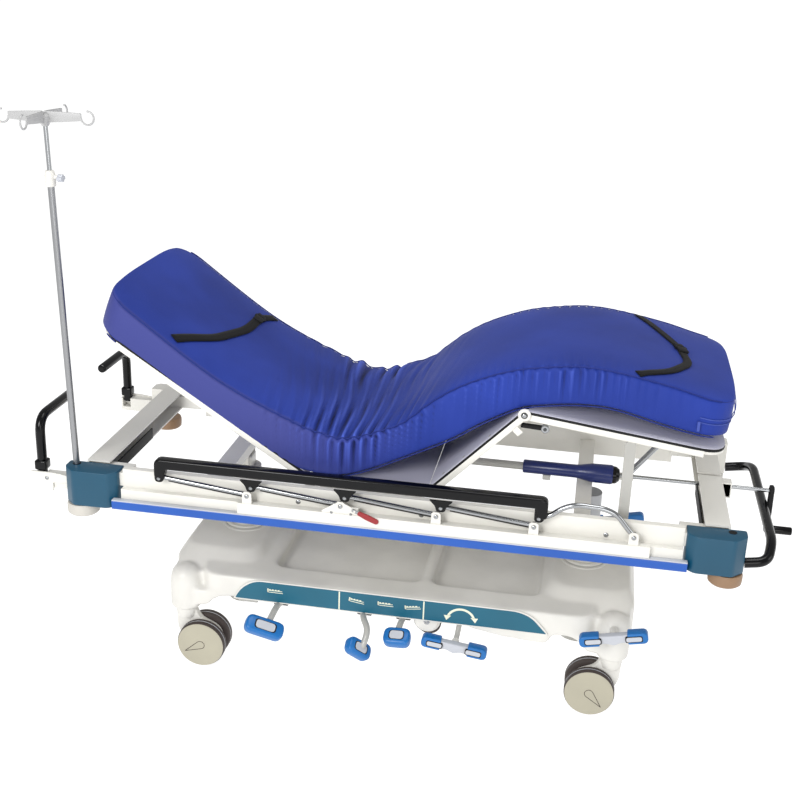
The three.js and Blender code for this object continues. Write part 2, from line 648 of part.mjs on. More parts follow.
function footPushBar() {
  const { endY, endZ, outerX, outerY, outerZ, radius } = PUSH_BAR;
  const start = CORNER_X[1][1] + 4;
  return bentBar([
    [start, -endY, endZ], [outerX - 18, -endY, endZ + 10], [outerX, -outerY, outerZ],
    [outerX, outerY, outerZ], [outerX - 18, endY, endZ + 10], [start, endY, endZ],
  ], radius, 56, 22, 5);
}
add('foot_push_bar', footPushBar(), black);

// ---------------------------------------------------------------- infusion pole
function poleTube() {
  const tube = turned([
    [POLE.inner, POLE.bottom], [POLE.outer, POLE.bottom], [POLE.outer, CLAMP_Z[0]], [14, CLAMP_Z[0] + 1],
    [14, CLAMP_Z[1]], [POLE.inner, CLAMP_Z[1]], [POLE.inner, POLE.bottom],
  ], 16).translate(poleX, -POLE_Y, 0);
  const boss = rod('x', 7, poleX + 8, poleX + 22, [-POLE_Y, (CLAMP_Z[0] + CLAMP_Z[1]) / 2], 12);
  return carve([tube, boss], [rod('z', POLE.inner, 1400, 1600, [poleX, -POLE_Y], 16)]);
}
add('iv_pole_tube', leaned(poleTube()), stainless);

function poleRod() {
  const { rod: radius, rodBottom, hub } = POLE;
  const parts = [
    rod('z', radius, rodBottom, hub + 10, [0, 0], 12),
    rod('z', 15, hub - 14, hub + 14, [0, 0], 16),
  ];
  for (let i = 0; i < 4; i += 1) {
    const arm = bentBar([
      [8, 0, hub], [HOOK_REACH - 24, 0, hub + 2], [HOOK_REACH - 4, 0, hub + 18],
      [HOOK_REACH + 16, 0, hub + 8], [HOOK_REACH + 14, 0, hub - 8],
    ], 4, 12, 8, 3);
    parts.push(arm.rotateZ((i * Math.PI) / 2));
  }
  return carve(parts).translate(poleX, -POLE_Y, 0);
}
add('iv_pole_hooks', leaned(poleRod()), whitePlastic);

const knobZ = (CLAMP_Z[0] + CLAMP_Z[1]) / 2;
const knob = rod('x', 12, poleX + 22 + GAP, poleX + 42, [-POLE_Y, knobZ], 10);
add('iv_pole_knob', leaned(knob), whitePlastic);

// ---------------------------------------------------------------- deck sections
/** A board with a side rail under each long edge; direction is -1 towards the head, 1 towards the foot. */
function deckPanel(from, to, direction, roundEnd) {
  const x = sorted(from * direction, to * direction);
  const board = roundEnd
    ? inPlan(roundedRectangle([x[0], x[1]], [-DECK_HALF_WIDTH, DECK_HALF_WIDTH], roundEnd), BOARD, 5)
    : block(x, [-DECK_HALF_WIDTH, DECK_HALF_WIDTH], BOARD);
  const parts = [board];
  const squareEnd = block(
    sorted(from * direction, (from + 160) * direction), [-DECK_HALF_WIDTH, DECK_HALF_WIDTH], BOARD);
  if (roundEnd) parts.push(squareEnd);
  const railEnd = roundEnd ? to - roundEnd : to;
  for (const side of Object.values(SIDES)) {
    const y = mirrored([DECK_HALF_WIDTH - DECK_RAIL.width, DECK_HALF_WIDTH], side);
    parts.push(block(sorted(from * direction, railEnd * direction), y, [DECK_RAIL.bottom, BOARD[1] - 1]));
  }
  const crossX = sorted((to - 150) * direction, (to - 110) * direction);
  parts.push(block(crossX, [-DECK_HALF_WIDTH + 2, DECK_HALF_WIDTH - 2], [DECK_RAIL.bottom, BOARD[1] - 1]));
  return carve(parts);
}

/** A plain mattress length; leanA and leanB slope its end faces so that it clears its neighbour. */
function mattressBlock(x0, x1, lean0, lean1) {
  const bottom = BOARD[1] + MATTRESS.clearance;
  const top = bottom + MATTRESS.thickness;
  const outline = shapeOf([
    [x0, bottom], [x1, bottom],
    [x1 - Math.tan(radians(lean1)) * MATTRESS.thickness, top],
    [x0 + Math.tan(radians(lean0)) * MATTRESS.thickness, top],
  ]);
  return inSide(outline, [-MATTRESS.halfWidth, MATTRESS.halfWidth]);
}

const backGroup = hingedGroup(trolley, BACK.hingeX, 0, DECK_Z, BACK.angle);
add('backrest_panel', deckPanel(DECK_CLEARANCE, BACK.length, -1, 70), boardGrey, backGroup);
add('mattress_back', mattressBlock(-BACK.length + 14, -14, 12, 40), fabric, backGroup);

const seatGroup = hingedGroup(trolley, 0, 0, DECK_Z, 0);
add('mattress_seat', mattressBlock(BACK.hingeX + 14, THIGH.hingeX - 6, 40, 24), fabric, seatGroup);

const thighGroup = hingedGroup(trolley, THIGH.hingeX, 0, DECK_Z, -THIGH.angle);
add('thigh_panel', deckPanel(DECK_CLEARANCE, THIGH.length - DECK_CLEARANCE, 1, 0), boardGrey, thighGroup);
add('mattress_thigh', mattressBlock(6, THIGH.length - 1, 24, 0), fabric, thighGroup);

const calfGroup = hingedGroup(thighGroup, THIGH.length, 0, 0, THIGH.angle + CALF.slope);
add('calf_panel', deckPanel(DECK_CLEARANCE, CALF.length, 1, 70), boardGrey, calfGroup);
add('mattress_calf', mattressBlock(1, CALF.length - 14, 0, 8), fabric, calfGroup);

// ---------------------------------------------------------------- side guards
const upperX = (i) => GUARD_FIRST_X + i * GUARD_PITCH - GUARD_REACH[0];
const upperZ = GUARD_LOW_Z + GUARD_REACH[1];

/** Straight guard bar i, between its lower and its upper pivot. */
function guardBar(i, side) {
  const length = Math.hypot(...GUARD_REACH);
  const y = mirrored(GUARD_BAR_Y, side);
  const half = GUARD_BAR_HALF;
  const outline = roundedRectangle([-length - half, half + 2], [-half, half], half - 0.5);
  const bar = inSide(outline, y);
  const pinHole = rod('y', GUARD_PIN + 0.7, y[0] - 1, y[1] + 1, [0, 0], 8);
  const angle = Math.atan2(GUARD_REACH[1], GUARD_REACH[0]);
  return carve([bar], [pinHole]).rotateY(angle).translate(GUARD_FIRST_X + i * GUARD_PITCH, 0, GUARD_LOW_Z);
}

/** The bent end bar, which arches up between its two pivots. */
function guardEndBar(side) {
  const y = mirrored(GUARD_BAR_Y, side);
  const middle = (y[0] + y[1]) / 2;
  const low = [GUARD_FIRST_X + 4 * GUARD_PITCH, middle, GUARD_LOW_Z];
  const high = [upperX(4), middle, upperZ];
  const arch = bentBar([
    high, [high[0] + 30, middle, high[2] + 6], [high[0] + 62, middle, high[2] + 34],
    [high[0] + 100, middle, 702], [low[0] - 82, middle, 700], [low[0] - 48, middle, 684], low,
  ], 6, 26, 14, 4);
  const eyes = [high, low].map(([x, , z]) => rod('y', 9, ...y, [x, z], 12));
  return carve([arch, ...eyes], [rod('y', GUARD_PIN + 0.7, y[0] - 1, y[1] + 1, [low[0], low[2]], 8)]);
}

function guardRail(side) {
  const { x, y, z } = GUARD_RAIL;
  const yRange = mirrored(y, side);
  const parts = [inEnd(roundedRectangle(yRange, z, 12), x)];
  for (let i = 0; i < 5; i += 1) {
    const lugX = upperX(i);
    const lug = shapeOf([
      [lugX - 22, z[0] + 4], [lugX - 11, upperZ - 4], [lugX - 6, upperZ - 11], [lugX + 6, upperZ - 11],
      [lugX + 11, upperZ - 4], [lugX + 22, z[0] + 4],
    ]);
    const end0 = i === 0 ? 12 : 0;
    parts.push(inSide(lug, mirrored(GUARD_PLATE_Y, side)).translate(end0, 0, 0));
  }
  return carve(parts);
}

function releaseLever(side) {
  const y = mirrored(LEVER.y, side);
  const outline = shapeOf([
    [-8, -8], [10, -9], [LEVER.length, -8], [LEVER.length + 3, 0], [LEVER.length, 7], [10, 9], [-8, 8],
  ]);
  const lever = carve([inSide(outline, y)], [rod('y', 3.5, y[0] - 1, y[1] + 1, [0, 0], 8)]);
  return lever.rotateY(radians(LEVER.droop)).translate(LEVER.x, 0, LEVER.z);
}

for (const [sideName, side] of Object.entries(SIDES)) {
  add(`guard_rail_${sideName}`, guardRail(side), black);
  for (let i = 0; i < 4; i += 1) add(`guard_bar_${i + 1}_${sideName}`, guardBar(i, side), stainless);
  add(`guard_bar_5_${sideName}`, guardEndBar(side), stainless);
  add(`guard_lever_${sideName}`, releaseLever(side), red);
}

// ---------------------------------------------------------------- knee crank and link
function screwHousing() {
  const at = [SCREW.y, SCREW.z];
  const cone = new THREE.CylinderGeometry(30, 22, 84, 18).rotateZ(-Math.PI / 2).translate(582, ...at);
  const pinY = [SCREW.y + 22, SCREW.y + 40];
  return carve([
    rod('x', 12, 130, 350, at, 12),
    rod('x', 22, 326, 541, at, 18),
    cone,
    block([400, 424], [SCREW.y - 14, SCREW.y + 14], [606.4, SCREW.z]),
    block([616, 684], [SCREW.y + 20, SCREW.y + 26], [LINK.z - 12, LINK.z + 12]),
    rod('y', 4, ...pinY, [LINK.x, LINK.z], 12),
  ], [rod('x', 6, 560, 650, at, 12)]);
}
add('screw_housing', screwHousing(), navy);

function crank() {
  const { armX, armDrop, gripEnd } = CRANK;
  const at = [SCREW.y, SCREW.z];
  const shaft = rod('x', 5.4, 570, armX[0] + 2, at, 12);
  const hub = rod('x', 15, armX[0], armX[1] + 6, at, 16);
  const arm = block(armX, [SCREW.y - 12, SCREW.y + 12], [SCREW.z - armDrop - 12, SCREW.z]);
  const grip = rod('x', 12, armX[1] - 1, gripEnd, [SCREW.y, SCREW.z - armDrop], 14);
  return carve([shaft, hub, arm, grip]);
}
add('knee_crank', crank(), black);

function kneeLink() {
  const y = [SCREW.y + 28, SCREW.y + 38];
  const dx = LINK.endX - LINK.x;
  const dz = LINK.endZ - LINK.z;
  const length = Math.hypot(dx, dz);
  const outline = roundedRectangle([-10, length + 10], [-8, 8], 7.5);
  const hole = rod('y', 5, y[0] - 1, y[1] + 1, [0, 0], 10);
  return carve([inSide(outline, y)], [hole]).rotateY(-Math.atan2(dz, dx)).translate(LINK.x, 0, LINK.z);
}
add('knee_link', kneeLink(), stainless);

function calfProp() {
  const { x, z, length, y } = PROP;
  return inSide(roundedRectangle([x - 15, x + 15], [z - length, z + 14], 12), y);
}
add('calf_prop', calfProp(), greyPaint);

// ---------------------------------------------------------------- backrest strut
const strutDirection = [STRUT.headX - STRUT.baseX, STRUT.headZ - STRUT.baseZ];
const strutLength = Math.hypot(...strutDirection);
const strutAngle = -Math.atan2(strutDirection[1], strutDirection[0]);

/** A strut piece made along X from the base pivot, then swung to its direction. */
const alongStrut = (geometry) => geometry.rotateY(strutAngle).translate(STRUT.baseX, 0, STRUT.baseZ);

function strutCylinder() {
  const at = [STRUT.y, 0];
  const eye = rod('y', 9, STRUT.y - 8, STRUT.y + 8, [0, 0], 12);
  const barrel = rod('x', 11, 4, STRUT.cylinder, at, 14);
  const bore = rod('x', 6, 14, STRUT.cylinder + 2, at, 12);
  return alongStrut(carve([eye, barrel], [bore]));
}

function strutRod() {
  const at = [STRUT.y, 0];
  const eye = rod('y', 9, STRUT.y - 8, STRUT.y + 8, [strutLength, 0], 12);
  return alongStrut(carve([eye, rod('x', 5, STRUT.rodStart, strutLength, at, 12)]));
}
add('backrest_strut_cylinder', strutCylinder(), black);
add('backrest_strut_rod', strutRod(), stainless);

// The origin is on the floor, under the middle of the whole trolley's bounding box.
const ORIGIN = new THREE.Vector3(27.8, -28.7, 0);
trolley.position.copy(ORIGIN).negate();

export default trolley;
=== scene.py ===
"""Hydraulic stretcher trolley: finishes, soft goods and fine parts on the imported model."""

import math

import bmesh
import bpy
from mathutils import noise, Matrix, Vector
from mathutils.bvhtree import BVHTree


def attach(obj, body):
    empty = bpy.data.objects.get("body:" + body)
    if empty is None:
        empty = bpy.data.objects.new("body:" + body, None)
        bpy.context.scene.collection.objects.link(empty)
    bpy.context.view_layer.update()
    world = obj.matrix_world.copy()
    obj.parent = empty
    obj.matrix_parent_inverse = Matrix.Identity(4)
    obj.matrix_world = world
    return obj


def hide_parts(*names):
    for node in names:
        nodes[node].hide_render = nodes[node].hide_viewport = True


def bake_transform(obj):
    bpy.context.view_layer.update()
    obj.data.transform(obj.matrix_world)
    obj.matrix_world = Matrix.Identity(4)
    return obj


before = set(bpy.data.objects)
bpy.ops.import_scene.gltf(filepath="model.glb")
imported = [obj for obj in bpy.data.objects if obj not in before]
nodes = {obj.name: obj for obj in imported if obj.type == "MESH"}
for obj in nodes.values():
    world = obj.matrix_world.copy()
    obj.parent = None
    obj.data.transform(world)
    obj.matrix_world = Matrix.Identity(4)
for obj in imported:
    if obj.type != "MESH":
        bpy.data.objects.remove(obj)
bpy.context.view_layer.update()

# Lengths are in millimetres from the middle of the wheelbase. MM, BACK, THIGH and CALF take them
# to the scene's metres; modifiers, lamps and whatever is added after that are in metres.
ORIGIN = Vector((27.8, -28.7, 0.0))
METRES = Matrix.Scale(0.001, 4)
MM = METRES @ Matrix.Translation(-ORIGIN)
SIDES = {"near": -1, "far": 1}
ENDS = {"head": -1, "foot": 1}

SWIVEL_X = 655
SWIVEL_Y = 290
WHEEL_X = 599
WHEEL_RADIUS = 75
COLUMN_X = 550
PUMP_SHAFT_Y = -292
SCREW_Z = 640
BOARD_HALF_WIDTH = 317
POLE_X = -962
POLE_Y = -345
POLE_FOOT_Z = 616
GUARD_Y = 385
GUARD_LOW_X = -426
GUARD_LOW_Z = 630
GUARD_HIGH_Z = 658
GUARD_SPACING = 275
GUARD_RUN = 263
DECK_Z = 672
BACK_HINGE_X = -262
BACK_ANGLE = math.radians(32.5)
THIGH_HINGE_X = 92
THIGH_LENGTH = 363
THIGH_ANGLE = math.radians(46)
CALF_ANGLE = math.radians(53)
BACK = MM @ Matrix.Translation((BACK_HINGE_X, 0, DECK_Z)) @ Matrix.Rotation(BACK_ANGLE, 4, "Y")
THIGH = MM @ Matrix.Translation((THIGH_HINGE_X, 0, DECK_Z)) @ Matrix.Rotation(-THIGH_ANGLE, 4, "Y")
CALF = THIGH @ Matrix.Translation((THIGH_LENGTH, 0, 0)) @ Matrix.Rotation(CALF_ANGLE, 4, "Y")


# ---------------------------------------------------------------- materials
def linear(red, green, blue):
    """A display colour, 0 to 255, as the linear colour a shader takes."""
    channels = []
    for value in (red, green, blue):
        share = value / 255
        channels.append(share / 12.92 if share <= 0.04045 else ((share + 0.055) / 1.055) ** 2.4)
    return (*channels, 1.0)


def shader(name, colour, roughness, metallic=0.0, coat=0.0, sheen=0.0):
    """A new material; returns it with its nodes, its links and its main shader."""
    material = bpy.data.materials.new(name)
    material.use_nodes = True
    tree = material.node_tree
    main = tree.nodes["Principled BSDF"]
    main.inputs["Base Color"].default_value = linear(*colour)
    main.inputs["Roughness"].default_value = roughness
    main.inputs["Metallic"].default_value = metallic
    main.inputs["Coat Weight"].default_value = coat
    main.inputs["Sheen Weight"].default_value = sheen
    return material, tree, main


def add_noise(tree, scale, detail=3.0, stretch=(1, 1, 1)):
    """A noise texture in object coordinates; returns its value output."""
    place = tree.nodes.new("ShaderNodeTexCoord")
    mapping = tree.nodes.new("ShaderNodeMapping")
    mapping.inputs["Scale"].default_value = stretch
    noise = tree.nodes.new("ShaderNodeTexNoise")
    noise.inputs["Scale"].default_value = scale
    noise.inputs["Detail"].default_value = detail
    tree.links.new(place.outputs["Object"], mapping.inputs["Vector"])
    tree.links.new(mapping.outputs["Vector"], noise.inputs["Vector"])
    return noise.outputs["Fac"]


def add_bump(tree, main, height, strength, distance=0.001):
    bump = tree.nodes.new("ShaderNodeBump")
    bump.inputs["Strength"].default_value = strength
    bump.inputs["Distance"].default_value = distance
    tree.links.new(height, bump.inputs["Height"])
    tree.links.new(bump.outputs["Normal"], main.inputs["Normal"])


def add_tint(tree, main, factor, low, high):
    """Base colour that wanders between two colours with a texture's value."""
    ramp = tree.nodes.new("ShaderNodeValToRGB")
    ramp.color_ramp.elements[0].position = 0.35
    ramp.color_ramp.elements[0].color = linear(*low)
    ramp.color_ramp.elements[1].position = 0.65
    ramp.color_ramp.elements[1].color = linear(*high)
    tree.links.new(factor, ramp.inputs["Fac"])
    tree.links.new(ramp.outputs["Color"], main.inputs["Base Color"])


def painted(name, colour, roughness=0.38, coat=0.25):
    """Powder-coated or enamelled metal with a faint orange peel."""
    material, tree, main = shader(name, colour, roughness, coat=coat)
    add_bump(tree, main, add_noise(tree, 420), 0.05, 0.0004)
    dimmed = tuple(int(value * 0.975) for value in colour)
    add_tint(tree, main, add_noise(tree, 5), dimmed, colour)
    return material


def plastic(name, colour, roughness=0.42, coat=0.1):
    """Moulded plastic with a fine grain."""
    material, tree, main = shader(name, colour, roughness, coat=coat)
    add_bump(tree, main, add_noise(tree, 900, 2), 0.08, 0.0003)
    dimmed = tuple(int(value * 0.96) for value in colour)
    add_tint(tree, main, add_noise(tree, 7), dimmed, colour)
    return material


def steel(name, colour, roughness, stretch):
    """Bright metal with a drawn or brushed direction."""
    material, tree, main = shader(name, colour, roughness, metallic=1.0)
    add_bump(tree, main, add_noise(tree, 160, 2, stretch), 0.06, 0.0003)
    return material


def cloth(name, low, high, roughness=0.62):
    """Coated nylon cover: a fine weave with soft tonal drift."""
    material, tree, main = shader(name, high, roughness, sheen=0.04)
    main.inputs["Sheen Roughness"].default_value = 0.45
    main.inputs["Specular IOR Level"].default_value = 0.22
    place = tree.nodes.new("ShaderNodeTexCoord")
    waves = []
    for direction in ("X", "Y"):
        wave = tree.nodes.new("ShaderNodeTexWave")
        wave.bands_direction = direction
        wave.inputs["Scale"].default_value = 260
        wave.inputs["Distortion"].default_value = 1.5
        tree.links.new(place.outputs["Object"], wave.inputs["Vector"])
        waves.append(wave.outputs["Fac"])
    weave = tree.nodes.new("ShaderNodeMath")
    weave.operation = "ADD"
    tree.links.new(waves[0], weave.inputs[0])
    tree.links.new(waves[1], weave.inputs[1])
    add_bump(tree, main, weave.outputs["Value"], 0.10, 0.0004)
    add_tint(tree, main, add_noise(tree, 3.2), low, high)
    return material


def named_mask(tree, attribute, start, end):
    """A stored vertex value turned into a 0 to 1 mask between two limits."""
    value = tree.nodes.new("ShaderNodeAttribute")
    value.attribute_name = attribute
    span = tree.nodes.new("ShaderNodeMapRange")
    span.inputs["From Min"].default_value = start
    span.inputs["From Max"].default_value = end
    tree.links.new(value.outputs["Fac"], span.inputs["Value"])
    return span.outputs["Result"]


def mixed(tree, main, mask, colour):
    """Blends the base colour towards another one where the mask is 1."""
    blend = tree.nodes.new("ShaderNodeMix")
    blend.data_type = "RGBA"
    before = main.inputs["Base Color"].links[0].from_socket
    tree.links.new(mask, blend.inputs["Factor"])
    tree.links.new(before, blend.inputs[6])
    blend.inputs[7].default_value = linear(*colour)
    tree.links.new(blend.outputs[2], main.inputs["Base Color"])


def mattress_cloth():
    """The cover's cloth, with painted light making the side of the back part lighter and purplish, painted
    shade in the fold valleys and along the seams, and painted highlight on the fold crests.
    """
    material = cloth("mattress_cover", (24, 46, 128), (32, 56, 148))
    tree = material.node_tree
    main = tree.nodes["Principled BSDF"]
    # Painted light: the sides of the back part turn lighter and purplish where the front light falls.
    mixed(tree, main, named_mask(tree, "violet", 0.0, 1.0), (58, 64, 130))
    # Painted shade: the cloth is darkened in the fold valleys.
    mixed(tree, main, named_mask(tree, "fold", -0.1, -0.6), (8, 20, 70))
    # Painted highlight: the cloth is lightened on the fold crests.
    mixed(tree, main, named_mask(tree, "fold", 0.08, 0.5), (66, 88, 184))
    # Painted shade: a darker band right along the long seams.
    mixed(tree, main, named_mask(tree, "seam", 2.6, 1.2), (26, 42, 116))
    return material


def dulled(material):
    """The same material with a weaker highlight."""
    main = material.node_tree.nodes["Principled BSDF"]
    main.inputs["Specular IOR Level"].default_value = 0.25
    return material


white_paint = painted("white_paint", (224, 222, 215))
white_plastic = plastic("white_plastic", (218, 216, 210), 0.4, 0.1)
pole_white = plastic("pole_white", (172, 172, 172), 0.36, 0.2)
grey_paint = painted("grey_paint", (170, 169, 164))
dark_steel = painted("dark_steel", (60, 62, 64), 0.5, 0.0)
teal = plastic("teal_plastic", (0, 70, 96), 0.42, 0.0)
panel_teal = plastic("panel_teal", (0, 90, 114), 0.45, 0.0)
panel_mark = plastic("panel_mark", (226, 228, 205), 0.5)
blue_plastic = plastic("blue_plastic", (4, 100, 170), 0.35, 0.0)
strip_blue = plastic("strip_blue", (14, 80, 170), 0.35, 0.0)
black_gloss = dulled(painted("black_gloss", (4, 4, 6), 0.2, 0.0))
black_rubber = dulled(plastic("black_rubber", (18, 18, 20), 0.6, 0.0))
chrome = steel("polished_steel", (158, 160, 162), 0.16, (1, 1, 1))
brushed = steel("brushed_steel", (150, 151, 153), 0.3, (1, 1, 14))
wheel_face = plastic("wheel_face", (172, 167, 148), 0.5)
tyre_brown = plastic("tyre_brown", (58, 48, 45), 0.6, 0.0)
board_lilac = painted("board_lilac", (200, 199, 212), 0.45, 0.1)
navy = plastic("navy_plastic", (10, 30, 92), 0.3, 0.1)
lever_red = plastic("lever_red", (142, 28, 32), 0.45)
roller_tan = plastic("roller_tan", (142, 112, 84), 0.5)
roller_grey = plastic("roller_grey", (196, 192, 184), 0.5)
label_grey = plastic("label_grey", (184, 187, 194), 0.5)
cover_cloth = mattress_cloth()
zip_blue = cloth("zip_tape", (58, 74, 150), (70, 88, 168))
webbing = cloth("webbing", (6, 6, 7), (12, 12, 13), 0.8)


# ---------------------------------------------------------------- mesh helpers
def piece(name, mesh_builder, material, place=MM, sharp=32):
    """A scene object from a bmesh; place takes it to the scene's metres."""
    bmesh.ops.recalc_face_normals(mesh_builder, faces=mesh_builder.faces)
    mesh = bpy.data.meshes.new(name)
    mesh_builder.to_mesh(mesh)
    mesh_builder.free()
    mesh.transform(place)
    mesh.materials.append(material)
    mesh.polygons.foreach_set("use_smooth", [True] * len(mesh.polygons))
    mesh.set_sharp_from_angle(angle=math.radians(sharp))
    thing = bpy.data.objects.new(name, mesh)
    bpy.context.scene.collection.objects.link(thing)
    return thing


def bevelled(mesh_builder, width, segments=3):
    if width > 0:
        edges = [e for e in mesh_builder.edges if e.calc_face_angle(0) > 0.5]
        bmesh.ops.bevel(
            mesh_builder, geom=edges, offset=width, segments=segments,
            affect="EDGES", profile=0.5, clamp_overlap=True,
        )
    return mesh_builder


def join_rings(made, first, second):
    """Faces between two rings of as many vertices."""
    for i in range(len(first)):
        j = (i + 1) % len(first)
        made.faces.new((first[i], first[j], second[j], second[i]))


def turned_over(sign):
    """Half a turn about X for something that faces the negative way."""
    return Matrix.Identity(4) if sign > 0 else Matrix.Rotation(math.pi, 4, "X")


def ordered(pair, sign=1):
    return sorted((pair[0] * sign, pair[1] * sign))


def block(x, y, z, bevel=1.5):
    made = bmesh.new()
    bmesh.ops.create_cube(made, size=1)
    size = Vector((x[1] - x[0], y[1] - y[0], z[1] - z[0]))
    middle = Vector((x[0] + x[1], y[0] + y[1], z[0] + z[1])) / 2
    bmesh.ops.scale(made, vec=size, verts=made.verts)
    bmesh.ops.translate(made, vec=middle, verts=made.verts)
    return bevelled(made, bevel)


def extruded(outline, span, plane, bevel=1.5):
    """A closed outline of 2-D points, in plan ("xy"), side ("xz") or end ("yz") view."""
    spots = {
        "xy": lambda a, b, depth: (a, b, depth),
        "xz": lambda a, b, depth: (a, depth, b),
        "yz": lambda a, b, depth: (depth, a, b),
    }[plane]
    made = bmesh.new()
    low = [made.verts.new(spots(a, b, span[0])) for a, b in outline]
    high = [made.verts.new(spots(a, b, span[1])) for a, b in outline]
    made.faces.new(low)
    made.faces.new(high)
    join_rings(made, low, high)
    bmesh.ops.recalc_face_normals(made, faces=made.faces)
    return bevelled(made, bevel)


def corner_points(enter, corner, leave, steps):
    """Points along the curve that rounds a corner."""
    shares = [step / steps for step in range(steps + 1)]
    return [enter * (1 - t) ** 2 + corner * 2 * t * (1 - t) + leave * t * t for t in shares]


def rounded_outline(points, radii, steps=5):
    """A polygon with its corners rounded; radii is one number or one for each corner."""
    count = len(points)
    if not hasattr(radii, "__len__"):
        radii = [radii] * count
    outline = []
    for i, corner in enumerate(points):
        here = Vector(corner)
        back = Vector(points[i - 1]) - here
        ahead = Vector(points[(i + 1) % count]) - here
        reach = min(radii[i], back.length * 0.49, ahead.length * 0.49)
        if reach < 0.2:
            outline.append(tuple(here))
            continue
        enter = here + back.normalized() * reach
        leave = here + ahead.normalized() * reach
        outline += [tuple(spot) for spot in corner_points(enter, here, leave, steps)]
    return outline


def rectangle(a, b):
    return [(a[0], b[0]), (a[1], b[0]), (a[1], b[1]), (a[0], b[1])]


def lathe(profile, sides=48):
    """A turned solid about Z from [radius, height] points that start and end on the axis."""
    made = bmesh.new()
    rings = []
    for radius, height in profile:
        if radius < 1e-6:
            rings.append([made.verts.new((0, 0, height))])
            continue
        ring = []
        for i in range(sides):
            turn = 2 * math.pi * i / sides
            ring.append(made.verts.new((radius * math.cos(turn), radius * math.sin(turn), height)))
        rings.append(ring)
    for lower, upper in zip(rings, rings[1:]):
        for i in range(sides):
            j = (i + 1) % sides
            if len(lower) == 1:
                made.faces.new((lower[0], upper[j], upper[i]))
            elif len(upper) == 1:
                made.faces.new((lower[i], lower[j], upper[0]))
            else:
                made.faces.new((lower[i], lower[j], upper[j], upper[i]))
    return made


def disc(radius, low, high, edge=1.5, sides=40):
    return lathe(
        [(0, low), (radius - edge, low), (radius, low + edge),
         (radius, high - edge), (radius - edge, high), (0, high)], sides)


TURN = {
    "z": Matrix.Identity(4),
    "y": Matrix.Rotation(math.radians(-90), 4, "X"),
    "x": Matrix.Rotation(math.radians(90), 4, "Y"),
}


def along(axis, centre, place=MM):
    """Placement of something turned about Z so that its axis lies along X, Y or Z."""
    return place @ Matrix.Translation(centre) @ TURN[axis]


def rounded_path(points, corner, steps=7):
    spots = [Vector(p) for p in points]
    path = [spots[0]]
    for i in range(1, len(spots) - 1):
        back = spots[i - 1] - spots[i]
        ahead = spots[i + 1] - spots[i]
        reach = min(corner, back.length * 0.49, ahead.length * 0.49)
        enter = spots[i] + back.normalized() * reach
        leave = spots[i] + ahead.normalized() * reach
        path += corner_points(enter, spots[i], leave, steps)
    path.append(spots[-1])
    return path


def swept(path, section, tapers=None):
    """A section of 2-D points carried along a path without twisting, with its ends closed."""
    made = bmesh.new()
    heading = (path[1] - path[0]).normalized()
    up = Vector((0, 0, 1)) if abs(heading.z) < 0.9 else Vector((0, 1, 0))
    across = heading.cross(up).normalized()
    rings = []
    for i, spot in enumerate(path):
        ahead = path[min(i + 1, len(path) - 1)] - path[max(i - 1, 0)]
        ahead.normalize()
        across = (across - ahead * across.dot(ahead)).normalized()
        rise = across.cross(ahead).normalized()
        scale = 1 if tapers is None else tapers[i]
        rings.append([made.verts.new(spot + (across * a + rise * b) * scale) for a, b in section])
    for first, second in zip(rings, rings[1:]):
        join_rings(made, first, second)
    made.faces.new(rings[0])
    made.faces.new(list(reversed(rings[-1])))
    return made


def circle(radius, sides=20):
    turns = [2 * math.pi * i / sides for i in range(sides)]
    return [(radius * math.cos(t), radius * math.sin(t)) for t in turns]


def tube(points, radius, corner=0, sides=20, dome=True):
    """A round bar through points, with rounded corners and softly closed ends."""
    path = rounded_path(points, corner) if corner else [Vector(p) for p in points]
    tapers = [1.0] * len(path)
    if dome:
        first = (path[1] - path[0]).normalized()
        last = (path[-1] - path[-2]).normalized()
        tip = radius * 0.35
        path = [path[0], path[0] + first * tip * 0.3, path[0] + first * tip] + path[1:-1] + [
            path[-1] - last * tip, path[-1] - last * tip * 0.3, path[-1]]
        tapers = [0.72, 0.93, 1.0] + tapers[1:-1] + [1.0, 0.93, 0.72]
    return swept(path, circle(radius, sides), tapers)


def show(name, made, material, body, place=MM, stands_for=(), sharp=32):
    """A piece that rides on a CAD body, and may stand for CAD nodes."""
    thing = piece(name, made, material, place, sharp)
    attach(thing, body)
    if stands_for:
        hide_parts(*stands_for)
    return thing


def screw(name, centre, axis, body, radius=6, place=MM, sign=1):
    """A domed screw head; sign is the way it faces along its axis."""
    profile = [(0, -1), (radius, -1), (radius, 1.2), (radius * 0.75, 2.6), (radius * 0.42, 3.0),
               (radius * 0.4, 1.6), (0, 1.6)]
    return show(name, lathe(profile, 24), chrome, body, along(axis, centre, place) @ turned_over(sign))


def finish_node(name, material, bevel=0.0):
    """Gives a CAD node its finish, with an optional rounded edge."""
    node = nodes[name]
    node.data.materials.clear()
    node.data.materials.append(material)
    if bevel:
        edge = node.modifiers.new("edge", "BEVEL")
        edge.width = bevel / 1000
        edge.segments = 2
        edge.limit_method = "ANGLE"
        edge.angle_limit = math.radians(40)
        edge.harden_normals = False
        edge.use_clamp_overlap = True


def evaluated(thing):
    """Replaces an object's mesh by the result of its modifiers, and drops them."""
    result = bpy.data.meshes.new_from_object(
        thing.evaluated_get(bpy.context.evaluated_depsgraph_get()))
    thing.modifiers.clear()
    thing.data = result
    return thing


# ---------------------------------------------------------------- base cover
SKIRT_TOP = 322
HUMP_TOP = 345


def lofted(lower, upper, z):
    """A closed solid between two outlines of as many points, at two heights."""
    made = bmesh.new()
    low = [made.verts.new((a, b, z[0])) for a, b in lower]
    high = [made.verts.new((a, b, z[1])) for a, b in upper]
    made.faces.new(low)
    made.faces.new(high)
    join_rings(made, low, high)
    return made


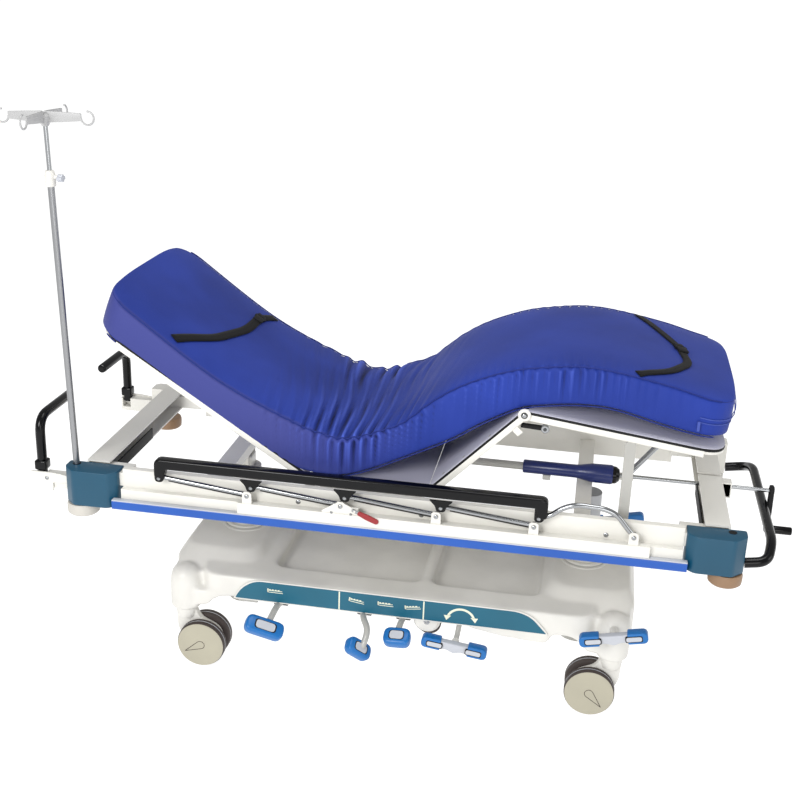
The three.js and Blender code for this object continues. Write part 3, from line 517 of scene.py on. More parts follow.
def wheel_arch(end, side):
    """The skirt's lower edge beside a caster; on the foot end it also dips under the control strip."""
    if end < 0:
        edge = [(-482, 262), (-500, 250), (-535, 245), (-560, 232), (-578, 210), (-640, 204), (-640, 262)]
    else:
        edge = [(215, 262), (232, 238), (330, 222), (452, 215), (466, 224), (476, 248), (520, 251),
                (548, 240), (566, 220), (580, 204), (640, 204), (640, 262)]
    return extruded(edge, ordered((302, 325), side), "xz", 0)


def cover_form():
    """The moulded cover as overlapping solids, before it is fused and smoothed."""
    parts = [extruded(
        rounded_outline(rectangle((-600, 600), (-326, 326)), 70), (250, SKIRT_TOP), "xy", 0)]
    for end in ENDS.values():
        plan = rounded_outline(rectangle(ordered((425, 710), end), (-262, 262)), 75)
        brow = rounded_outline(rectangle(ordered((462, 694), end), (-190, 190)), 60)
        parts.append(extruded(plan, (250, 314), "xy", 0))
        parts.append(lofted(plan, brow, (312, HUMP_TOP)))
        nose = rounded_outline(rectangle(ordered((590, 711), end), (-235, 235)), 40)
        parts.append(extruded(nose, (205, 318), "xy", 0))
        chin = rounded_outline(rectangle(ordered((600, 711), end), (-158, 158)), 25)
        parts.append(extruded(chin, (148, 318), "xy", 0))
        parts.append(block(ordered((560, 700), end), (-292, 292), (214, 308), 0))
        for side in SIDES.values():
            parts.append(wheel_arch(end, side))
            dome = lathe([(0, 188), (47, 188), (48, 196), (48, 276), (46, 292), (40, 308), (29, 320),
                          (15, 326), (0, 328)], 40)
            bmesh.ops.translate(dome, vec=(end * SWIVEL_X, side * SWIVEL_Y, 0), verts=dome.verts)
            parts.append(dome)
    return parts


def carve(target, cutter_builder):
    cutter = piece("cutter", cutter_builder, white_plastic)
    cut = target.modifiers.new("cut", "BOOLEAN")
    cut.operation = "DIFFERENCE"
    cut.solver = "EXACT"
    cut.object = cutter
    evaluated(target)
    bpy.data.objects.remove(cutter)


def melt(thing, cube):
    """A modifier that fuses overlapping solids into one skin of cubes this many metres wide."""
    fuse = thing.modifiers.new("melt", "REMESH")
    fuse.mode = "VOXEL"
    fuse.voxel_size = cube


def make_base_cover():
    fused = bmesh.new()
    for part in cover_form():
        bmesh.ops.recalc_face_normals(part, faces=part.faces)
        scratch = bpy.data.meshes.new("scratch")
        part.to_mesh(scratch)
        part.free()
        fused.from_mesh(scratch)
        bpy.data.meshes.remove(scratch)
    cover = piece("moulded_base_cover", fused, white_plastic)
    melt(cover, 0.0055)
    evaluated(cover)
    for span in ((-388, 62), (98, 425)):
        floor = rounded_outline(rectangle(span, (-222, 222)), 45)
        carve(cover, extruded(floor, (283, 420), "xy", 0))
        brim = rounded_outline(rectangle((span[0] - 9, span[1] + 9), (-231, 231)), 50)
        carve(cover, extruded(brim, (316, 420), "xy", 0))
    for end in ENDS.values():
        carve(cover, along_z_cutter(end * COLUMN_X, 0, 64, 330))
    melt(cover, 0.005)
    soften = cover.modifiers.new("soften", "SMOOTH")
    soften.factor = 0.6
    soften.iterations = 9
    evaluated(cover)
    cover.data.materials.clear()
    cover.data.materials.append(white_plastic)
    cover.data.polygons.foreach_set("use_smooth", [True] * len(cover.data.polygons))
    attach(cover, "base")
    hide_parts("base_cover")


def along_z_cutter(x, y, radius, low):
    made = disc(radius, low, 420, 0.1, 48)
    bmesh.ops.translate(made, vec=(x, y, 0), verts=made.verts)
    return made


def control_strip(side):
    """The teal panel on the skirt, with dividers and plain pictograms."""
    face = (328.5, 331.5)
    outline = rounded_outline(
        [(-487, 255), (459, 255), (446, 268), (412, 304), (372, 318), (-425, 318), (-466, 290)],
        [6, 4, 20, 60, 40, 60, 30])
    body = "base"
    name = "near" if side < 0 else "far"
    show(f"control_strip_{name}", extruded(outline, ordered(face, side), "xz", 0.6), panel_teal, body)
    mark_face = ordered((331.2, 332.0), side)
    rim = extruded(
        rounded_outline([(-493, 251), (465, 251), (452, 270), (416, 308), (374, 322),
                         (-427, 322), (-470, 293)], [6, 4, 20, 60, 40, 60, 30]),
        ordered((327, 330.6), side), "xz", 0.6)
    show(f"control_strip_rim_{name}", rim, white_plastic, body)
    for x in (-163, 93):
        show(f"strip_divider_{name}_{x}", block((x - 2, x + 2), mark_face, (256, 317), 0), panel_mark, body)
    for x, tilt in ((-361, 0), (-110, 8), (-22, 0), (60, -8)):
        bed_mark(name, x, tilt, mark_face, body)
    arrow_arc(name, mark_face, body)


def bed_mark(name, x, tilt, face, body):
    turn = MM @ Matrix.Translation((x, 0, 292)) @ Matrix.Rotation(math.radians(tilt), 4, "Y")
    bars = [((-24, 24), (-6, -4)), ((-22, 22), (0, 2)), ((-24, -20), (-6, 7)), ((8, 14), (2, 5)),
            ((-10, -4), (2, 5)), ((-1, 5), (2, 5)), ((-19, -13), (2, 5))]
    for i, (across, rise) in enumerate(bars):
        show(f"bed_mark_{name}_{x}_{i}", block(across, face, rise, 0), panel_mark, body, turn)


def arrow_arc(name, face, body):
    """A half-round double arrow over the steering pedal."""
    turns = [math.radians(a) for a in range(20, 161, 10)]
    centre = (205, 266)
    outer = [(centre[0] + 44 * math.cos(t), centre[1] + 42 * math.sin(t)) for t in turns]
    inner = [(centre[0] + 37 * math.cos(t), centre[1] + 35 * math.sin(t)) for t in reversed(turns)]
    show(f"steer_arc_{name}", extruded(outer + inner, face, "xz", 0), panel_mark, body)
    for sign in (-1, 1):
        x = centre[0] + sign * 40
        head = [(x - 11, 280), (x + 11, 280), (x + sign * 3, 264)]
        show(f"steer_head_{name}_{sign}", extruded(head, face, "xz", 0), panel_mark, body)


# ---------------------------------------------------------------- casters
def make_caster(end_name, side_name):
    end = ENDS[end_name]
    middle = SIDES[side_name] * SWIVEL_Y
    key = f"{end_name}_{side_name}"
    fork_body = f"caster_fork_{key}"
    wheel_body = f"caster_wheels_{key}"
    hood = rounded_outline(
        [(end * 579, 62), (end * 537, 66), (end * 549, 118), (end * 610, 146), (end * 624, 178),
         (end * 686, 178), (end * 682, 100), (end * 652, 62)],
        [6, 10, 30, 20, 4, 4, 30, 10])
    shell = extruded(hood, (middle - 11.5, middle + 11.5), "xz", 5)
    show(f"caster_hood_{key}", shell, white_plastic, fork_body, stands_for=(fork_body,))
    collar = lathe([(0, 150), (26, 150), (33, 170), (34, 186), (0, 186)], 40)
    show(f"caster_collar_{key}", collar, white_plastic, fork_body, along("z", (end * SWIVEL_X, middle, 0)))
    for twin in (-1, 1):
        tyre = lathe([(0, 13), (66, 13), (72, 15), (75, 19), (75, 27), (72.5, 28), (72.5, 31),
                      (75, 32), (75, 41), (74, 44), (72, 46), (0, 46)], 72)
        turn = along("y", (end * WHEEL_X, middle, WHEEL_RADIUS)) @ turned_over(twin)
        stands = (wheel_body,) if twin < 0 else ()
        show(f"caster_tyre_{key}_{twin}", tyre, tyre_brown, wheel_body, turn, stands)
        ring = lathe([(0, 27.5), (73.8, 27.5), (74.6, 28.5), (74.6, 30.5), (73.8, 31.5), (0, 31.5)], 72)
        show(f"caster_ring_{key}_{twin}", ring, label_grey, wheel_body, turn)
        face = lathe([(0, 45), (71.5, 45), (72.6, 46.4), (71.8, 47.6), (70, 48.0), (0, 48.4)], 72)
        show(f"caster_face_{key}_{twin}", face, wheel_face, wheel_body, turn)
        facing = along("y", (end * WHEEL_X, middle + twin * 48.3, WHEEL_RADIUS))
        show(f"caster_mark_{key}_{twin}", teardrop(end), tyre_brown, wheel_body, facing)


def teardrop(end):
    """A thin raised teardrop line on a wheel face, pointing down and outwards."""
    tip = 56
    radius = 13
    reach = math.acos(radius / tip)
    outline = [Vector((tip, 0, 0))]
    for step in range(19):
        turn = reach + (2 * math.pi - 2 * reach) * step / 18
        outline.append(Vector((radius * math.cos(turn), radius * math.sin(turn), 0)))
    outline.append(Vector((tip, 0, 0)))
    lean = math.radians(208 if end < 0 else -47)
    spin = Matrix.Rotation(lean, 4, "Z")
    mirror = Matrix.Scale(-1, 4, (0, 1, 0))
    return swept([mirror @ spin @ spot for spot in outline], circle(0.9, 6))


# ---------------------------------------------------------------- pedals
def pedal_pad(name, body, centre, length, depth, height, roll, pitch, stands_for=()):
    turn = (MM @ Matrix.Translation(centre) @ Matrix.Rotation(math.radians(pitch), 4, "X")
            @ Matrix.Rotation(math.radians(roll), 4, "Y"))
    half = length / 2
    plan = rounded_outline(rectangle((-half, half), (-depth / 2, depth / 2)), depth * 0.42, 8)
    pad = extruded(plan, (-height / 2, height / 2), "xy", 9)
    show(name, pad, blue_plastic, body, turn, stands_for)
    for grow, lift, finish in ((1.14, 0.4, black_rubber), (1.0, 0.8, label_grey)):
        reach = (half * 0.5 * grow, depth * 0.24 * grow)
        label = rounded_outline(rectangle((-reach[0], reach[0]), (-reach[1], reach[1])), 10, 6)
        plate = extruded(label, (height / 2 - 1, height / 2 + lift), "xy", 0)
        show(f"{name}_label_{finish.name}", plate, finish, body, turn)


def stem(name, body, points, radius=9.5):
    show(name, tube(points, radius, 26, 16), grey_paint, body)


def make_pump_pedals():
    pedal_pad("pad_up", "pedal_up", (-367, -430, 223), 118, 54, 34, 26, 32, ("pedal_up",))
    stem("stem_up", "pedal_up", [(-352, PUMP_SHAFT_Y, 234), (-352, -345, 250), (-362, -424, 224)])
    pedal_pad("pad_down_head", "pedal_down_head", (-84, -426, 188), 84, 52, 32, 46, 30,
              ("pedal_down_head",))
    stem("stem_down_head", "pedal_down_head",
         [(-92, PUMP_SHAFT_Y, 234), (-88, -345, 250), (-60, -395, 236), (-72, -424, 190)])
    pedal_pad("pad_down_foot", "pedal_down_foot", (29, -410, 232), 80, 54, 36, -4, 30,
              ("pedal_down_foot",))
    stem("stem_down_foot", "pedal_down_foot",
         [(28, PUMP_SHAFT_Y, 234), (28, -345, 246), (22, -404, 222)])
    for x, body in ((-352, "pedal_up"), (-92, "pedal_down_head"), (28, "pedal_down_foot")):
        shaft = tube([(x - 22, PUMP_SHAFT_Y, 232), (x + 22, PUMP_SHAFT_Y, 232)], 8)
        show(f"pedal_shaft_{x}", shaft, dark_steel, body)


def rocker(name, body, centre, side, tilt, hub, stands_for):
    """A pale rocker plate with a blue pad at each end."""
    turn = MM @ Matrix.Translation(centre) @ Matrix.Rotation(math.radians(tilt), 4, "Y")
    middle = rounded_outline(
        [(-58, -12), (-20, -12), (0, -19), (20, -12), (58, -12), (58, 12), (-58, 12)], 5)
    base = extruded(middle, ordered((6, 30), side), "xz", 4)
    show(f"{name}_plate", base, label_grey, body, turn, stands_for)
    hub_turn = turn @ TURN["y"] @ turned_over(side)
    show(f"{name}_hub", disc(11, -hub, 12, 2), white_plastic, body, hub_turn)
    for sign in (-1, 1):
        radii = [5, 16, 16, 5] if sign > 0 else [16, 5, 5, 16]
        pad = rounded_outline(rectangle(ordered((40, 98), sign), (-17, 17)), radii, 8)
        cushion = extruded(pad, ordered((1, 34), side), "xz", 6)
        show(f"{name}_pad_{sign}", cushion, blue_plastic, body, turn)
        for grow, lift, finish in ((2.5, 34.6, black_rubber), (0, 35.2, label_grey)):
            label = rounded_outline(
                rectangle(ordered((36 - grow, 80 + grow), sign), (-7 - grow, 7 + grow)), 6)
            plate = extruded(label, ordered((28, lift), side), "xz", 0)
            show(f"{name}_label_{sign}_{finish.name}", plate, finish, body, turn)


def make_rockers():
    rocker("steer", "pedal_steer", (195, -362, 208), -1, 7, 14, ("pedal_steer",))
    stem("steer_stem", "pedal_steer", [(201, -302, 256), (197, -332, 216), (195, -352, 208)], 8)
    for name, side in SIDES.items():
        rocker(f"brake_{name}", f"pedal_brake_{name}", (650, side * 372, 305), side, -12, 31,
               (f"pedal_brake_{name}",))
    cover = lathe([(0, 0), (36, 0), (40, 3), (40, 9), (34, 12), (32, 20), (0, 20)], 48)
    place = along("y", (100, -282, 232)) @ turned_over(-1)
    show("steer_cover", cover, white_plastic, "base", place)
    rim = lathe([(38, 2), (41.5, 2), (41.5, 8), (38, 8)], 48)
    show("steer_cover_rim", rim, dark_steel, "base", place)
    screw("steer_cover_bolt", (100, -303, 232), "y", "base", 9, sign=-1)
    show("jack_bar", block((-480, -420), (-318, -306), (236, 250), 2), grey_paint, "base")


# ---------------------------------------------------------------- columns
def make_columns():
    show("head_column_tube", disc(50, 112, 548, 1, 64), white_paint, "column_head",
         along("z", (-COLUMN_X, 0, 0)), ("column_head",))
    show("head_column_eye", block((-576, -524), (-30, 30), (540, 589), 6), white_paint, "column_head")
    show("foot_stage_tube", disc(50, 112, 430, 1, 64), white_paint, "column_stage_foot",
         along("z", (COLUMN_X, 0, 0)), ("column_stage_foot",))
    show("foot_column_tube", disc(37, 192, 578, 1, 64), brushed, "column_foot",
         along("z", (COLUMN_X, 0, 0)), ("column_foot",))
    for end_name, end in ENDS.items():
        ring = lathe([(0, 330), (74, 330), (75, 345), (73, 347.5), (67, 348), (66.5, 349), (66, 355),
                      (64, 357), (55, 357), (54, 353), (0, 353)], 64)
        show(f"column_collar_{end_name}", ring, white_plastic, "base", along("z", (end * COLUMN_X, 0, 0)))


# ---------------------------------------------------------------- top frame
def make_top_frame():
    finish_node("top_frame", white_paint, 1.2)
    seat = rounded_outline(rectangle((-254, 88), (-319, 319)), 3)
    show("seat_sheet", extruded(seat, (679.5, 682), "xy", 0.6), board_lilac, "top_frame")
    show("seat_gap", block((88.5, 96), (-318, 318), (668, 680), 1), black_rubber, "top_frame")
    for end_name, end in ENDS.items():
        channel = block(ordered((864, 868.5), end), (-300, 8), (603, 638), 0.5)
        show(f"beam_channel_{end_name}", channel, black_rubber, "top_frame")
    for name, side in SIDES.items():
        for x in (-282, 78, 599):
            screw(f"web_screw_{name}_{x}", (x, side * 365, 614), "y", "top_frame", 7, sign=side)
        for i in range(5):
            x = GUARD_LOW_X + GUARD_SPACING * i
            screw(f"bracket_rivet_{name}_{i}", (x, side * 399, GUARD_LOW_Z), "y", "top_frame", 6.5,
                  sign=side)
        for x in (-176, -120):
            screw(f"catch_rivet_{name}_{x}", (x, side * 398, 608), "y", "top_frame", 4, sign=side)
        strip = rounded_outline(
            [(side * 384, 543), (side * 400, 543), (side * 403, 549), (side * 403, 567),
             (side * 400, 573), (side * 384, 573)], 3)
        reach = (-835, 826) if side < 0 else (-796, 788)
        show(f"bumper_{name}", extruded(strip, reach, "yz", 0), strip_blue, "top_frame",
             stands_for=(f"bumper_strip_{name}",))
        # Painted highlight: a pale grey line along the top edge of the blue bumper strip.
        line = block(reach, ordered((385, 403.2), side), (570.5, 574), 1)
        show(f"bumper_line_{name}", line, label_grey, "top_frame")


def make_corner(end_name, side_name):
    """A moulded cover on the near side, a plain bracket on the far side, and a roller below."""
    end = ENDS[end_name]
    side = SIDES[side_name]
    key = f"{end_name}_{side_name}"
    low, high = (-990, -824) if end < 0 else (818, 982)
    outer, inner = (low, high) if end < 0 else (high, low)
    if side < 0:
        plan = [(inner, side * 325), (outer, side * 325), (outer, side * 366),
                (outer - end * 34, side * 401), (inner + end * 26, side * 401), (inner, side * 376)]
        made = extruded(rounded_outline(plan, [3, 8, 10, 10, 12, 8]), (543, 653), "xy", 5)
        show(f"cover_{key}", made, teal, "top_frame", stands_for=(f"corner_cover_{key}",))
        hole_x = POLE_X if end < 0 else 942
        hole = disc(12, 651, 653.6, 0.3)
        show(f"pole_hole_{key}", hole, black_rubber, "top_frame", along("z", (hole_x, POLE_Y, 0)))
    else:
        finish_node(f"corner_cover_{key}", white_paint, 2)
    roller = lathe([(0, 504), (41, 504), (46.5, 509), (47.5, 519), (47.5, 533), (45, 540), (0, 541)], 48)
    show(f"bumper_disc_{key}", roller, roller_grey if end * side > 0 else roller_tan, "top_frame",
         along("z", (outer - end * 46, side * 354, 0)))


# ---------------------------------------------------------------- guards
def make_guard(side_name):
    side = SIDES[side_name]
    make_guard_rail(side_name, side)
    for i in range(4):
        make_guard_bar(side_name, side, i)
    make_guard_end_bar(side_name, side)
    make_guard_lever(side_name, side)


def make_guard_rail(side_name, side):
    """The black top rail with five lugs that hang from it, one for each bar."""
    body = f"guard_rail_{side_name}"
    top = rounded_outline(
        [(-703, 655), (-676, 655), (-668, 686), (402, 686), (408, 655), (434, 655), (434, 717),
         (-703, 717)],
        [12, 10, 6, 6, 10, 12, 20, 20])
    made = extruded(top, ordered((369, 401), side), "xz", 15)
    show(f"guard_rail_tube_{side_name}", made, black_gloss, body, stands_for=(body,))
    for i in range(5):
        x = GUARD_LOW_X + GUARD_SPACING * i - GUARD_RUN
        lug = rounded_outline(
            [(x - 34, 680), (x - 16, 662), (x - 12, 645), (x + 12, 645), (x + 16, 662), (x + 34, 680)],
            [4, 8, 10, 10, 8, 4])
        if i in (0, 4):
            lug = rounded_outline(
                [(x - 13, 690), (x - 13, 645), (x + 13, 645), (x + 20, 690)], [4, 12, 12, 4])
        plate = extruded(lug, ordered((392.4, 397.6), side), "xz", 1)
        show(f"guard_lug_{side_name}_{i}", plate, black_gloss, body)
        screw(f"guard_lug_rivet_{side_name}_{i}", (x, side * 398.6, 657), "y", body, 5.5, sign=side)


def add_knuckles(side_name, number, low, high, body):
    """A black knuckle at each end of a guard bar."""
    for tag, spot in (("low", low), ("high", high)):
        knuckle = disc(9.5, -6, 6, 1.5, 28)
        show(f"guard_knuckle_{tag}_{number}_{side_name}", knuckle, black_gloss, body, along("y", spot))


def make_guard_bar(side_name, side, i):
    """A straight bar with a thin black painted shadow line beside it."""
    key = f"{i + 1}_{side_name}"
    body = f"guard_bar_{key}"
    low_x = GUARD_LOW_X + GUARD_SPACING * i
    low = (low_x, side * GUARD_Y, GUARD_LOW_Z)
    high = (low_x - GUARD_RUN, side * GUARD_Y, GUARD_HIGH_Z)
    bar = tube([high, low], 7, 0, 20, False)
    show(f"guard_tube_{key}", bar, chrome, body, stands_for=(body,))
    # Painted shadow: a thin black tube just under the bar stands in for its shadow line.
    painted_shadow_y = side * (GUARD_Y + 1)
    link = tube([(high[0] + 26, painted_shadow_y, 647.8), (low[0] - 14, painted_shadow_y, 623.6)], 2.6, 0, 12, False)
    show(f"guard_link_{key}", link, black_rubber, body)
    add_knuckles(side_name, i + 1, low, high, body)


def make_guard_end_bar(side_name, side):
    """The bent bar at the foot end of the guard."""
    body = f"guard_bar_5_{side_name}"
    y = side * GUARD_Y
    high = (411, y, GUARD_HIGH_Z)
    low = (674, y, GUARD_LOW_Z)
    bend = [high, (440, y, 663), (474, y, 692), (512, y, 706), (590, y, 702), (624, y, 688),
            (658, y, 646), low]
    bar = tube(bend, 7.5, 24, 20, False)
    show(f"guard_tube_5_{side_name}", bar, chrome, body, stands_for=(body,))
    add_knuckles(side_name, 5, low, high, body)


def make_guard_lever(side_name, side):
    """The red release lever on its short arm."""
    body = f"guard_lever_{side_name}"
    turn = MM @ Matrix.Translation((-108, 0, 622)) @ Matrix.Rotation(math.radians(22), 4, "Y")
    outline = rounded_outline([(10, -6), (40, -9), (72, -8), (76, 0), (72, 7), (40, 8), (10, 6)], 5)
    grip = extruded(outline, ordered((399.5, 406.5), side), "xz", 2.5)
    show(f"lever_grip_{side_name}", grip, lever_red, body, turn, (body,))
    outline = rounded_outline(rectangle((-9, 22), (-5, 5)), 4)
    arm = extruded(outline, ordered((401, 405), side), "xz", 1)
    show(f"lever_arm_{side_name}", arm, chrome, body, turn)


# ---------------------------------------------------------------- deck boards
def deck_section(name, body, node, place, start, end, direction, round_end):
    """A pale board with a black edge trim on a white side rail."""
    x = ordered((start, end), direction)
    corner = 84 if round_end else 3
    corners = [corner, 3, 3, corner] if direction < 0 else [3, corner, corner, 3]
    board = rounded_outline(rectangle(x, (-BOARD_HALF_WIDTH, BOARD_HALF_WIDTH)), corners, 8)
    show(f"{name}_board", extruded(board, (-1, 8.5), "xy", 0.8), board_lilac, body, place, (node,))
    trim_reach = BOARD_HALF_WIDTH + 4
    trim = rounded_outline(
        rectangle((x[0] - 0.5, x[1] + 0.5), (-trim_reach, trim_reach)), corners, 8)
    show(f"{name}_trim", extruded(trim, (-0.5, 7.2), "xy", 2), black_rubber, body, place)
    rail_end = end - (60 if round_end else 0)
    for side_name, side in SIDES.items():
        rail = block(ordered((start, rail_end), direction), ordered((294, 321.5), side), (-17, 1.5), 2)
        show(f"{name}_rail_{side_name}", rail, white_paint, body, place)
    cross = block(ordered((end - 150, end - 110), direction), (-296, 296), (-13, 0), 2)
    show(f"{name}_cross", cross, white_paint, body, place)
    if round_end:
        tray_reach = BOARD_HALF_WIDTH + 2
        tray = rounded_outline(rectangle(x, (-tray_reach, tray_reach)), corners, 8)
        show(f"{name}_tray", extruded(tray, (-9, 0.5), "xy", 2), white_paint, body, place)


def make_deck():
    deck_section("back", "backrest", "backrest_panel", BACK, 8, 735, -1, True)
    deck_section("thigh", "thigh", "thigh_panel", THIGH, 5, 353, 1, False)
    deck_section("calf", "calf", "calf_panel", CALF, 11, 560, 1, True)
    for side_name, side in SIDES.items():
        turn = along("y", (THIGH_LENGTH, side * 321, -3), THIGH) @ turned_over(side)
        show(f"knee_ear_{side_name}", disc(18, 0, 8, 2, 40), white_paint, "thigh", turn)
        show(f"knee_washer_{side_name}", disc(9.5, 7, 9.5, 0.8, 32), dark_steel, "thigh", turn)
        screw(f"knee_bolt_{side_name}", (THIGH_LENGTH, side * 331, -3), "y", "thigh", 6.5, THIGH, side)
    for x in (60, 140, 240):
        place = THIGH @ Matrix.Translation((x, -300, 8.5))
        show(f"board_screw_{x}", disc(5, 0, 0.9, 0.4, 20), grey_paint, "thigh", place)
    for x in (-90, -30, 40):
        place = MM @ Matrix.Translation((x, -303, 682))
        show(f"seat_screw_{x}", disc(5, 0, 0.9, 0.4, 20), grey_paint, "top_frame", place)
    arm = rounded_outline([(-2, -48), (64, -44), (70, -39), (64, -34), (-2, -39)], 4)
    for y in (-304, -290):
        show(f"latch_arm_{-y}", extruded(arm, (y, y + 4), "xz", 1), black_rubber, "calf", CALF)
    place = along("y", (66, -297, -39), CALF)
    show("latch_roller", disc(12, -8, 9, 2, 32), chrome, "calf", place)
    show("latch_hub", disc(5, -10, 11, 1, 24), dark_steel, "calf", place)
    tab = block((306, 326), (-326, -318), (-38, -16), 2)
    show("thigh_tab", tab, white_paint, "thigh", THIGH)


# ---------------------------------------------------------------- crank, link, strut
def make_mechanisms():
    place = along("x", (0, 0, SCREW_Z))
    housing = lathe([(0, 338), (19, 338), (20.5, 341), (20.5, 500), (22, 512), (29, 548), (30, 606),
                     (28, 612), (0, 612)], 48)
    show("housing_shell", housing, navy, "top_frame", place, ("screw_housing",))
    cap = lathe([(0, 611), (27, 611), (26, 622), (18, 632), (0, 634)], 48)
    show("housing_cap", cap, black_gloss, "top_frame", place)
    inner = tube([(130, 0, SCREW_Z), (345, 0, SCREW_Z)], 12, 0, 20, False)
    show("housing_tube", inner, grey_paint, "top_frame")
    show("housing_foot", block((400, 424), (-14, 14), (606, 622), 2), grey_paint, "top_frame")
    show("link_bracket", block((612, 676), (14, 22), (619, 642), 3), white_paint, "top_frame")
    screw("link_bolt", (658, 14, 630), "y", "top_frame", 8, sign=-1)
    shaft = tube([(572, 0, SCREW_Z), (1082, 0, SCREW_Z)], 6, 0, 20, False)
    show("crank_shaft", shaft, chrome, "knee_crank", stands_for=("knee_crank",))
    arm = rounded_outline(
        [(1079, 655), (1093, 655), (1095, 560), (1092, 505), (1079, 505)], [5, 5, 20, 6, 6])
    show("crank_arm", extruded(arm, (-12, 12), "xz", 3), black_rubber, "knee_crank")
    show("crank_hub", disc(15, 0, 14, 2), black_rubber, "knee_crank", along("x", (1079, 0, SCREW_Z)))
    show("crank_grip", tube([(1088, 0, 513), (1120, 0, 513), (1163, 0, 513)], 12.5, 0, 28), black_gloss,
         "knee_crank")
    show("shaft_guide", block((936, 966), (-18, 18), (611, 657), 3), black_rubber, "top_frame")
    low = (658, 630)
    high = (820, 846)
    link = math.atan2(high[1] - low[1], high[0] - low[0])
    turn = MM @ Matrix.Translation((low[0], 33, low[1])) @ Matrix.Rotation(-link, 4, "Y")
    length = math.hypot(high[1] - low[1], high[0] - low[0])
    show("link_tube", tube([(14, 0, 0), (length - 6, 0, 0)], 9, 0, 28), chrome, "knee_link", turn,
         ("knee_link",))
    show("link_eye", disc(12, -6, 6, 2), white_paint, "knee_link", along("y", (0, 0, 0), turn))
    show("link_head", disc(12, -6, 6, 2), white_paint, "knee_link", along("y", (length, 0, 0), turn))
    finish_node("calf_prop", grey_paint, 2.0)
    finish_node("backrest_strut_cylinder", black_gloss, 0.5)
    finish_node("backrest_strut_rod", chrome)


# ---------------------------------------------------------------- handles and infusion pole
def make_handles():
    for name, side in SIDES.items():
        body = f"head_handle_{name}"
        x, y = -1079, side * 330
        grip = tube([(x, y, 640), (x, y, 782), (x, side * 122, 782)], 14.5, 52, 28)
        show(f"handle_grip_{name}", grip, black_gloss, body, stands_for=(body,))
        show(f"handle_foot_{name}", block((x - 11, x + 11), ordered((319, 341), side), (596, 625), 2),
             black_gloss, body)
        clamp = block((x - 18, x + 18), ordered((312, 348), side), (618, 648), 5)
        show(f"handle_clamp_{name}", clamp, black_gloss, body)
        plate = rounded_outline(
            [(x - 30, 556), (x + 40, 556), (x + 40, 584), (x + 120, 584), (x + 120, 606),
             (x + 40, 616), (x - 30, 616)], [3, 3, 3, 3, 3, 10, 4])
        cheek = extruded(plate, ordered((345.6, 352), side), "xz", 1)
        show(f"handle_cheek_{name}", cheek, white_paint, "top_frame")
        screw(f"handle_screw_{name}", (x + 22, side * 352, 598), "y", "top_frame", 6, sign=side)
    show("push_bar", tube(
        [(984, -340, 562), (1046, -340, 572), (1063, -268, 600), (1063, 268, 600), (1046, 340, 572),
         (984, 340, 562)], 14.5, 58, 28, False), black_gloss, "top_frame", stands_for=("foot_push_bar",))


def make_pole():
    """The infusion pole, leaning a little towards the head about its foot."""
    lean = (MM @ Matrix.Translation((POLE_X, POLE_Y, POLE_FOOT_Z))
            @ Matrix.Rotation(math.radians(-1.5), 4, "Y") @ Matrix.Translation((0, 0, -POLE_FOOT_Z)))
    show("pole_lower", tube([(0, 0, 618), (0, 0, 1482)], 9.5, 0, 28, False), brushed, "top_frame",
         lean, ("iv_pole_tube",))
    clamp = lathe([(0, 1474), (13, 1474), (14.5, 1477), (14.5, 1504), (12, 1516), (9, 1518), (0, 1518)], 40)
    show("pole_clamp", clamp, white_plastic, "top_frame", lean)
    show("pole_clamp_arm", tube([(8, 0, 1500), (23, 0, 1500)], 6), white_plastic, "top_frame", lean)
    knob = rounded_outline(
        [(-5, -10), (5, -10), (6, -4), (13, -5), (13, 5), (6, 4), (5, 10), (-5, 10), (-6, 4), (-13, 5),
         (-13, -5), (-6, -4)], 2)
    show("pole_knob", extruded(knob, (22.6, 38), "yz", 2), label_grey, "iv_pole_knob",
         lean @ Matrix.Translation((0, 0, 1497)), ("iv_pole_knob",))
    show("pole_upper", tube([(0, 0, 1020), (0, 0, 1660)], 6.3, 0, 24, False), chrome, "iv_pole_hooks",
         lean, ("iv_pole_hooks",))
    hub = lathe([(0, 1636), (9, 1636), (12, 1641), (13, 1652), (16, 1662), (14, 1668), (5, 1671),
                 (0, 1671)], 36)
    show("pole_hub", hub, pole_white, "iv_pole_hooks", lean)
    for i in range(4):
        turn = lean @ Matrix.Rotation(i * math.pi / 2, 4, "Z")
        blade = rounded_outline([(6, 1676), (60, 1674), (104, 1672), (104, 1652), (60, 1648), (6, 1645)], 3)
        show(f"pole_arm_{i}", extruded(blade, (-3, 3), "xz", 1.2), pole_white, "iv_pole_hooks", turn)
        loop = [Vector((121 - 18 * math.cos(t), 0, 1660 - 18 * math.sin(t)))
                for t in (math.radians(a) for a in range(0, 271, 15))]
        show(f"pole_hook_{i}", swept(loop, circle(2.8, 12)), pole_white, "iv_pole_hooks", turn)


# ---------------------------------------------------------------- mattress
# Side outline of the raised mattress along its near edge: bottom x, bottom z, top seam x, top seam z.
MATTRESS_STATIONS = [
    (-898, 1078, -862, 1180), (-594, 867, -548, 956), (-357, 716, -308, 840), (-265, 688, -235, 817),
    (-204, 685, -188, 806), (-147, 692, -150, 808), (-74, 720, -100, 822), (-7, 752, -60, 838),
    (56, 784, 4, 868), (148, 831, 91, 944), (233, 887, 181, 1001), (330, 938, 296, 1047),
    (409, 956, 391, 1067), (500, 966, 491, 1078), (591, 962, 593, 1070), (725, 930, 736, 1044),
    (824, 911, 836, 1018), (906, 903, 915, 1004),
]
MATTRESS_HALF_WIDTH = 318
MATTRESS_THICKNESS = 110
MATTRESS_CORNER = 85.0
COLUMNS = 400
COLUMN_PITCH = 5.1
BOTTOM_STEPS = 16
SIDE_STEPS = 8
TOP_STEPS = 40


